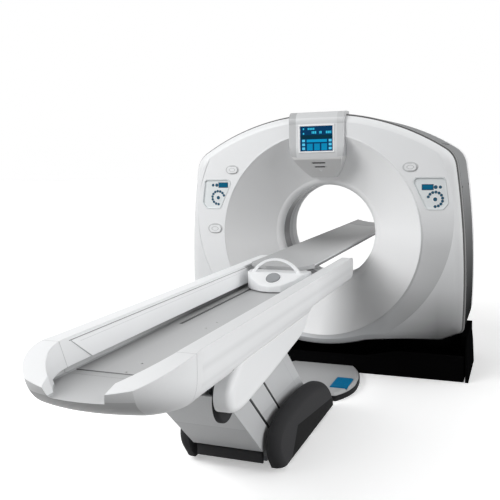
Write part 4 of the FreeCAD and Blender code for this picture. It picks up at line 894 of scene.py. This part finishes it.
bpy.ops.mesh.extrude_region_move(TRANSFORM_OT_translate={"value": (0, -FRAME_DEPTH, 0)})
select_faces(lambda centre, normal: centre.y < -FRAME_DEPTH + 0.0001)
bpy.ops.mesh.bevel(offset=0.0012, segments=2, affect="EDGES")
settle("screen_frame", button_white, "gantry")

# %% [markdown]
# ## Rings
#
# A white ring lies round the middle key of each dial, and a larger one will lie round the release
# button. A torus would be too round: these are flat with softened corners. So a small plane,
# bevelled at its corners, is the section, and Spin turns it about the ring's middle.

# %% Turned rings
RING_HEIGHT = 0.0016
DIAL_RING_RADII = (0.0135, 0.0190)
PANEL_FILM_Y = -0.443


def turned_ring(name, centre, axis, radii, body):
    """Spin a flat section with softened corners about an axis through the centre."""
    begin()
    r_in, r_out = radii
    out = axis.orthogonal().normalized()
    side = axis.cross(out)
    turn = Matrix((out, axis, -side)).transposed().to_4x4()
    middle = centre + out * (r_in + r_out) / 2 + axis * RING_HEIGHT / 2
    bpy.ops.mesh.primitive_plane_add(size=1)
    bpy.context.object.matrix_world = Matrix.Translation(middle) @ turn
    bpy.context.object.scale = (r_out - r_in, RING_HEIGHT, 1)
    bpy.ops.object.transform_apply(location=True, rotation=True, scale=True)
    bpy.ops.object.mode_set(mode="EDIT")
    bpy.ops.mesh.select_all(action="SELECT")
    bpy.ops.mesh.bevel(offset=RING_HEIGHT * 0.3, segments=3, affect="VERTICES")
    bpy.ops.mesh.select_all(action="SELECT")
    bpy.ops.mesh.delete(type="ONLY_FACE")
    bpy.ops.mesh.select_all(action="SELECT")
    bpy.ops.mesh.spin(steps=72, angle=2 * math.pi, center=centre, axis=axis)
    settle(name, button_white, body)


def side_name(side):
    return "right" if side > 0 else "left"


towards_viewer = Vector((0, -1, 0))
for side, dial_x, dial_z, *_ in PANELS:
    dial_place = Vector((dial_x, PANEL_FILM_Y, dial_z))
    dial_name = "dial_ring_" + side_name(side)
    turned_ring(dial_name, dial_place, towards_viewer, DIAL_RING_RADII, "gantry")

# %% [markdown]
# ## The carriage head
#
# The head of the cradle slopes down towards the foot end, so that the release button faces the
# person who stands there. It is a block with every corner of its plan and the slope of its top
# planed off by Bisect. Then the edges are rounded, and the button's well is sunk by a Boolean
# with a cylinder that stands square to the slope.

# %% Carriage head
low, high = [Vector(corner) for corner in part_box("carriage")]
HEAD_BACK_Y = -1.262
PLAN_CORNERS = ((0.190, -1.290), (0.182, -1.352), (0.138, -1.414), (0.066, -1.466), (0.0, -1.480))
SLOPE, SLOPE_FROM_Y, BUTTON_Y = math.radians(29), -1.363, -1.409
WELL_R, WELL_DEPTH, HEAD_ROUNDING = 0.0435, 0.012, 0.0045
slope_normal = Vector((0, -math.sin(SLOPE), math.cos(SLOPE)))
button_place = Vector((0, BUTTON_Y, high.z - (SLOPE_FROM_Y - BUTTON_Y) * math.tan(SLOPE)))


def plane_off(point, normal):
    """Cut away everything beyond a plane and close the cut."""
    bpy.ops.mesh.select_all(action="SELECT")
    bpy.ops.mesh.bisect(plane_co=point, plane_no=normal, use_fill=True, clear_outer=True)


begin()
block_place = (0, (low.y + HEAD_BACK_Y) / 2, (low.z + high.z) / 2)
bpy.ops.mesh.primitive_cube_add(size=1, location=block_place)
bpy.context.object.scale = (high.x - low.x, HEAD_BACK_Y - low.y, high.z - low.z)
bpy.ops.object.transform_apply(location=True, rotation=True, scale=True)
bpy.ops.object.mode_set(mode="EDIT")
for (x1, y1), (x2, y2) in zip(PLAN_CORNERS, PLAN_CORNERS[1:]):
    for mirror in (1, -1):
        plane_off((mirror * x1, y1, 0), (mirror * (y1 - y2), x2 - x1, 0))
plane_off((0, SLOPE_FROM_Y, high.z), slope_normal)
bpy.ops.mesh.select_mode(type="EDGE")
bpy.ops.mesh.select_all(action="DESELECT")
bpy.ops.mesh.edges_select_sharp(sharpness=math.radians(15))
bpy.ops.mesh.bevel(offset=HEAD_ROUNDING, segments=3, affect="EDGES")
bpy.ops.object.mode_set(mode="OBJECT")
head = bpy.context.object
begin()
bpy.ops.mesh.primitive_cylinder_add(vertices=64, radius=WELL_R, depth=2 * WELL_DEPTH)
stand_on(button_place, slope_normal)
well = bpy.context.object
begin()
head.select_set(True)
bpy.context.view_layer.objects.active = head
bpy.ops.object.modifier_add(type="BOOLEAN")
head.modifiers[-1].object = well
head.modifiers[-1].operation = "DIFFERENCE"
bpy.ops.object.modifier_apply(modifier=head.modifiers[-1].name)
bpy.data.objects.remove(well)
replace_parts(settle("carriage_head", head_white, "cradle", 30), "carriage")

# %% [markdown]
# ## The release button
#
# The button is a flat grey disc with a rounded rim and a shallow dish for the thumb, and a thin
# ring lies round its well. The disc is a cylinder whose top is inset, pushed in and bevelled.

# %% Release button and its ring
DISC_R, DISC_HEIGHT, DISC_LIFT, DISC_RIM, DISH_DEPTH = 0.0420, 0.012, 0.0015, 0.008, 0.0012
RELEASE_RING_RADII = (0.0440, 0.0500)
begin()
bpy.ops.mesh.primitive_cylinder_add(vertices=64, radius=DISC_R, depth=DISC_HEIGHT)
stand_on(button_place + slope_normal * DISC_LIFT, slope_normal)
bpy.ops.object.transform_apply(location=True, rotation=True, scale=True)
select_faces(lambda centre, facing: facing.dot(slope_normal) > 0.9)
bpy.ops.mesh.bevel(offset=0.0022, segments=3, affect="EDGES")
select_faces(lambda centre, facing: facing.dot(slope_normal) > 0.999)
bpy.ops.mesh.inset(thickness=DISC_RIM)
bpy.ops.transform.translate(value=-slope_normal * DISH_DEPTH)
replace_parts(settle("release_disc", button_grey, "release", 30), "release_button")
turned_ring("release_ring", button_place, slope_normal, RELEASE_RING_RADII, "cradle")

# %% [markdown]
# ## Ribs on the pedals
#
# Shoes grip a pedal by low ribs across it. One rib is modelled from a cube, drawn to a ridge by a
# bevel, and copied along the pedal, each copy with its own mesh; the copies are then joined.

# %% Pedal ribs
RIB_COUNT, RIB_STEP = 11, 0.018
FIRST_RIB_Y, RIB_Z = -0.831, 0.0592
RIB_SIZE = (0.088, 0.0060, 0.0030)
PEDAL_X = 0.242


def pedal_ribs(name, middle_x, body):
    begin()
    bpy.ops.mesh.primitive_cube_add(size=1, location=(middle_x, FIRST_RIB_Y, RIB_Z))
    bpy.context.object.scale = RIB_SIZE
    bpy.ops.object.transform_apply(location=False, rotation=False, scale=True)
    select_faces(lambda centre, normal: normal.z > 0.9)
    bpy.ops.mesh.bevel(offset=0.0013, segments=2, affect="EDGES")
    bpy.ops.object.mode_set(mode="OBJECT")
    first = bpy.context.object
    for number in range(1, RIB_COUNT):
        rib = first.copy()
        rib.data = first.data.copy()
        rib.location.y += number * RIB_STEP
        bpy.context.scene.collection.objects.link(rib)
        rib.select_set(True)
    bpy.context.view_layer.objects.active = first
    bpy.ops.object.join()
    settle(name, pedal_blue, body, 30)


pedal_ribs("pedal_ribs_right", PEDAL_X, "pedal_right")
pedal_ribs("pedal_ribs_left", -PEDAL_X, "pedal_left")

# %% [markdown]
# ## The small triangle on the chin
#
# Under the two slots of the display's chin a white triangle points down to the bore, where the
# patient looks. It is a three-sided disc: a circle of three corners, filled, laid on the sloping
# face and extruded. The slope is read from the CAD node by a ray.

# %% Triangle
MARK_R, MARK_HEIGHT = 0.016, 0.0009
BEFORE_CHIN, BESIDE_COVERS_X = (0.0, -0.8, 1.478), 1.3


def on_surface(node, start, towards):
    """Where a ray first meets a CAD node, and the surface's normal there."""
    hit, place, normal = nodes[node].ray_cast(Vector(start), Vector(towards))[:3]
    print("ray on", node, "hit:", hit, [round(v, 4) for v in place])
    return place, normal


place, normal = on_surface("display_chin", BEFORE_CHIN, (0, 1, 0))
begin()
bpy.ops.mesh.primitive_circle_add(vertices=3, radius=MARK_R, fill_type="NGON")
stand_on(place, normal)
mark = bpy.context.object
heights = [(mark.matrix_world @ vertex.co).z - place.z for vertex in mark.data.vertices]
if max(heights) > -min(heights):
    mark.matrix_world @= Matrix.Rotation(math.pi, 4, "Z")
select_faces(lambda centre, facing: True)
bpy.ops.mesh.extrude_region_move(TRANSFORM_OT_translate={"value": normal * MARK_HEIGHT})
settle("chin_mark", button_white, "gantry")

# %% [markdown]
# ## Plugs in the side covers
#
# Each side cover is held by screws under small round plugs. One plug is a cylinder whose face is
# inset and pushed in, so that a rim stays; rays from the side put four of them on each cover.

# %% Screw plugs
PLUG_R, PLUG_HEIGHT, PLUG_RIM, PLUG_DISH = 0.009, 0.003, 0.00198, 0.0008
PLUG_PLACES = ((-0.28, 0.66), (-0.28, 1.35), (0.24, 0.66), (0.24, 1.35))


def plug(name, place, normal):
    begin()
    bpy.ops.mesh.primitive_cylinder_add(vertices=32, radius=PLUG_R, depth=PLUG_HEIGHT)
    stand_on(place, normal)
    bpy.ops.object.transform_apply(location=True, rotation=True, scale=True)
    select_faces(lambda centre, facing: facing.dot(normal) > 0.9)
    bpy.ops.mesh.inset(thickness=PLUG_RIM)
    bpy.ops.transform.translate(value=-normal * PLUG_DISH)
    settle(name, rubber_black, "gantry", 35)


for side in (-1, 1):
    for number, (plug_y, plug_z) in enumerate(PLUG_PLACES):
        beside = (side * BESIDE_COVERS_X, plug_y, plug_z)
        place, normal = on_surface("side_covers", beside, (-side, 0, 0))
        plug("side_plug_%s_%d" % (side_name(side), number), place, normal)

# %% [markdown]
# ## The floor
#
# The picture has a white ground with a soft shadow. If the lamps alone made the floor white, the
# white covers would burn out. So the floor is a plain pale surface plus a glow that only the
# camera and reflections see. Towards the machine the floor is a darker grey, or the undersides
# would be lit as brightly as the tops.

# %% Floor
FLOOR_SIZE, FLOOR_Z = 90, -0.0006
FLOOR_SEEN, FLOOR_BOUNCE, GLOW = 1.00, 0.36, 0.35


def seen_rays(tree):
    """1 for camera, glossy and transmission rays, 0 for the rays that light the machine."""
    seen = 0
    for ray in ("Is Camera Ray", "Is Glossy Ray", "Is Transmission Ray"):
        seen = seen + tree.node("ShaderNodeLightPath", {}, {}, ray)
    return seen.clamped()


begin()
bpy.ops.mesh.primitive_plane_add(size=FLOOR_SIZE, location=(0, 0, FLOOR_Z))
floor = bpy.context.object
floor.name = "floor"
floor_material = bpy.data.materials.new("studio_floor")
floor_material.use_nodes = True
floor_tree = Tree(floor_material.node_tree)
floor_tree.node_tree.nodes.clear()
seen = seen_rays(floor_tree)
floor_grey = seen * (FLOOR_SEEN - FLOOR_BOUNCE) + FLOOR_BOUNCE
pale = floor_tree.node("ShaderNodeBsdfDiffuse", {}, {"Color": floor_grey})
glow = floor_tree.node("ShaderNodeEmission", {}, {"Strength": seen * GLOW})
surface = floor_tree.node("ShaderNodeAddShader", {}, {0: pale, 1: glow})
floor_tree.node("ShaderNodeOutputMaterial", {}, {"Surface": surface})
floor.data.materials.append(floor_material)
print("floor seen, bounce and glow:", FLOOR_SEEN, FLOOR_BOUNCE, GLOW)

# %% [markdown]
# ## The world
#
# The world is pure white for the same rays, so that the background matches the floor. All other
# rays meet a weaker white, which is the soft light that comes from everywhere in a pale room.

# %% World
AMBIENT = 0.27
world = bpy.data.worlds.new("studio")
world.use_nodes = True
bpy.context.scene.world = world
world_tree = Tree(world.node_tree)
world_tree.node_tree.nodes.clear()
shown = world_tree.node("ShaderNodeBackground", {}, {"Color": (1, 1, 1), "Strength": 1.0})
ambient = world_tree.node("ShaderNodeBackground", {}, {"Color": (1, 1, 1), "Strength": AMBIENT})
sky = world_tree.node("ShaderNodeMixShader", {}, {0: seen_rays(world_tree), 1: ambient, 2: shown})
world_tree.node("ShaderNodeOutputWorld", {}, {"Surface": sky})
print("ambient strength:", AMBIENT)

# %% [markdown]
# ## Three broad lights
#
# The photo is lit by a large source high on the left in front of the machine. A low light from
# the right only grazes the front covers and lights the side of the table, and a weak one from
# above lifts the tops. Lamps near the machine would light the floor in patches, so suns with a
# wide angle are used: even everywhere, with soft shadows.

# %% Lights
def broad_light(name, towards_light, strength, angle):
    data = bpy.data.lights.new(name, "SUN")
    data.energy = strength
    data.angle = angle
    lamp = bpy.data.objects.new(name, data)
    lamp.rotation_euler = Vector(towards_light).to_track_quat("Z", "Y").to_euler()
    bpy.context.scene.collection.objects.link(lamp)
    print(name, "strength:", strength)


broad_light("key_light", (-0.50, -0.62, 0.60), strength=1.20, angle=0.7)
broad_light("fill_light", (0.95, -0.04, 0.26), strength=1.90, angle=1.0)
broad_light("top_light", (0.05, -0.10, 1.00), strength=0.20, angle=1.0)

# %% [markdown]
# ## The soft box
#
# One soft box stands nearer, at the left front. Its light falls off across the machine, so the
# front cover gets gently darker from the left to the right, as in the photo.

# %% Soft box
BOX_PLACE, BOX_AIM = Vector((-2.7, -3.3, 3.0)), Vector((-0.4, -0.4, 1.2))
box_data = bpy.data.lights.new("soft_box", "AREA")
box_data.shape = "DISK"
box_data.size = 2.4
box_data.energy = 66
soft_box = bpy.data.objects.new("soft_box", box_data)
soft_box.location = BOX_PLACE
soft_box.rotation_euler = (BOX_PLACE - BOX_AIM).to_track_quat("Z", "Y").to_euler()
soft_box.visible_camera = False
bpy.context.scene.collection.objects.link(soft_box)
print("soft box power in watts:", box_data.energy)

# %% [markdown]
# ## Colours
#
# The Standard view keeps the white of the floor and the greys of the covers as they were set.

# %% Colour management
bpy.context.scene.view_settings.view_transform = "Standard"
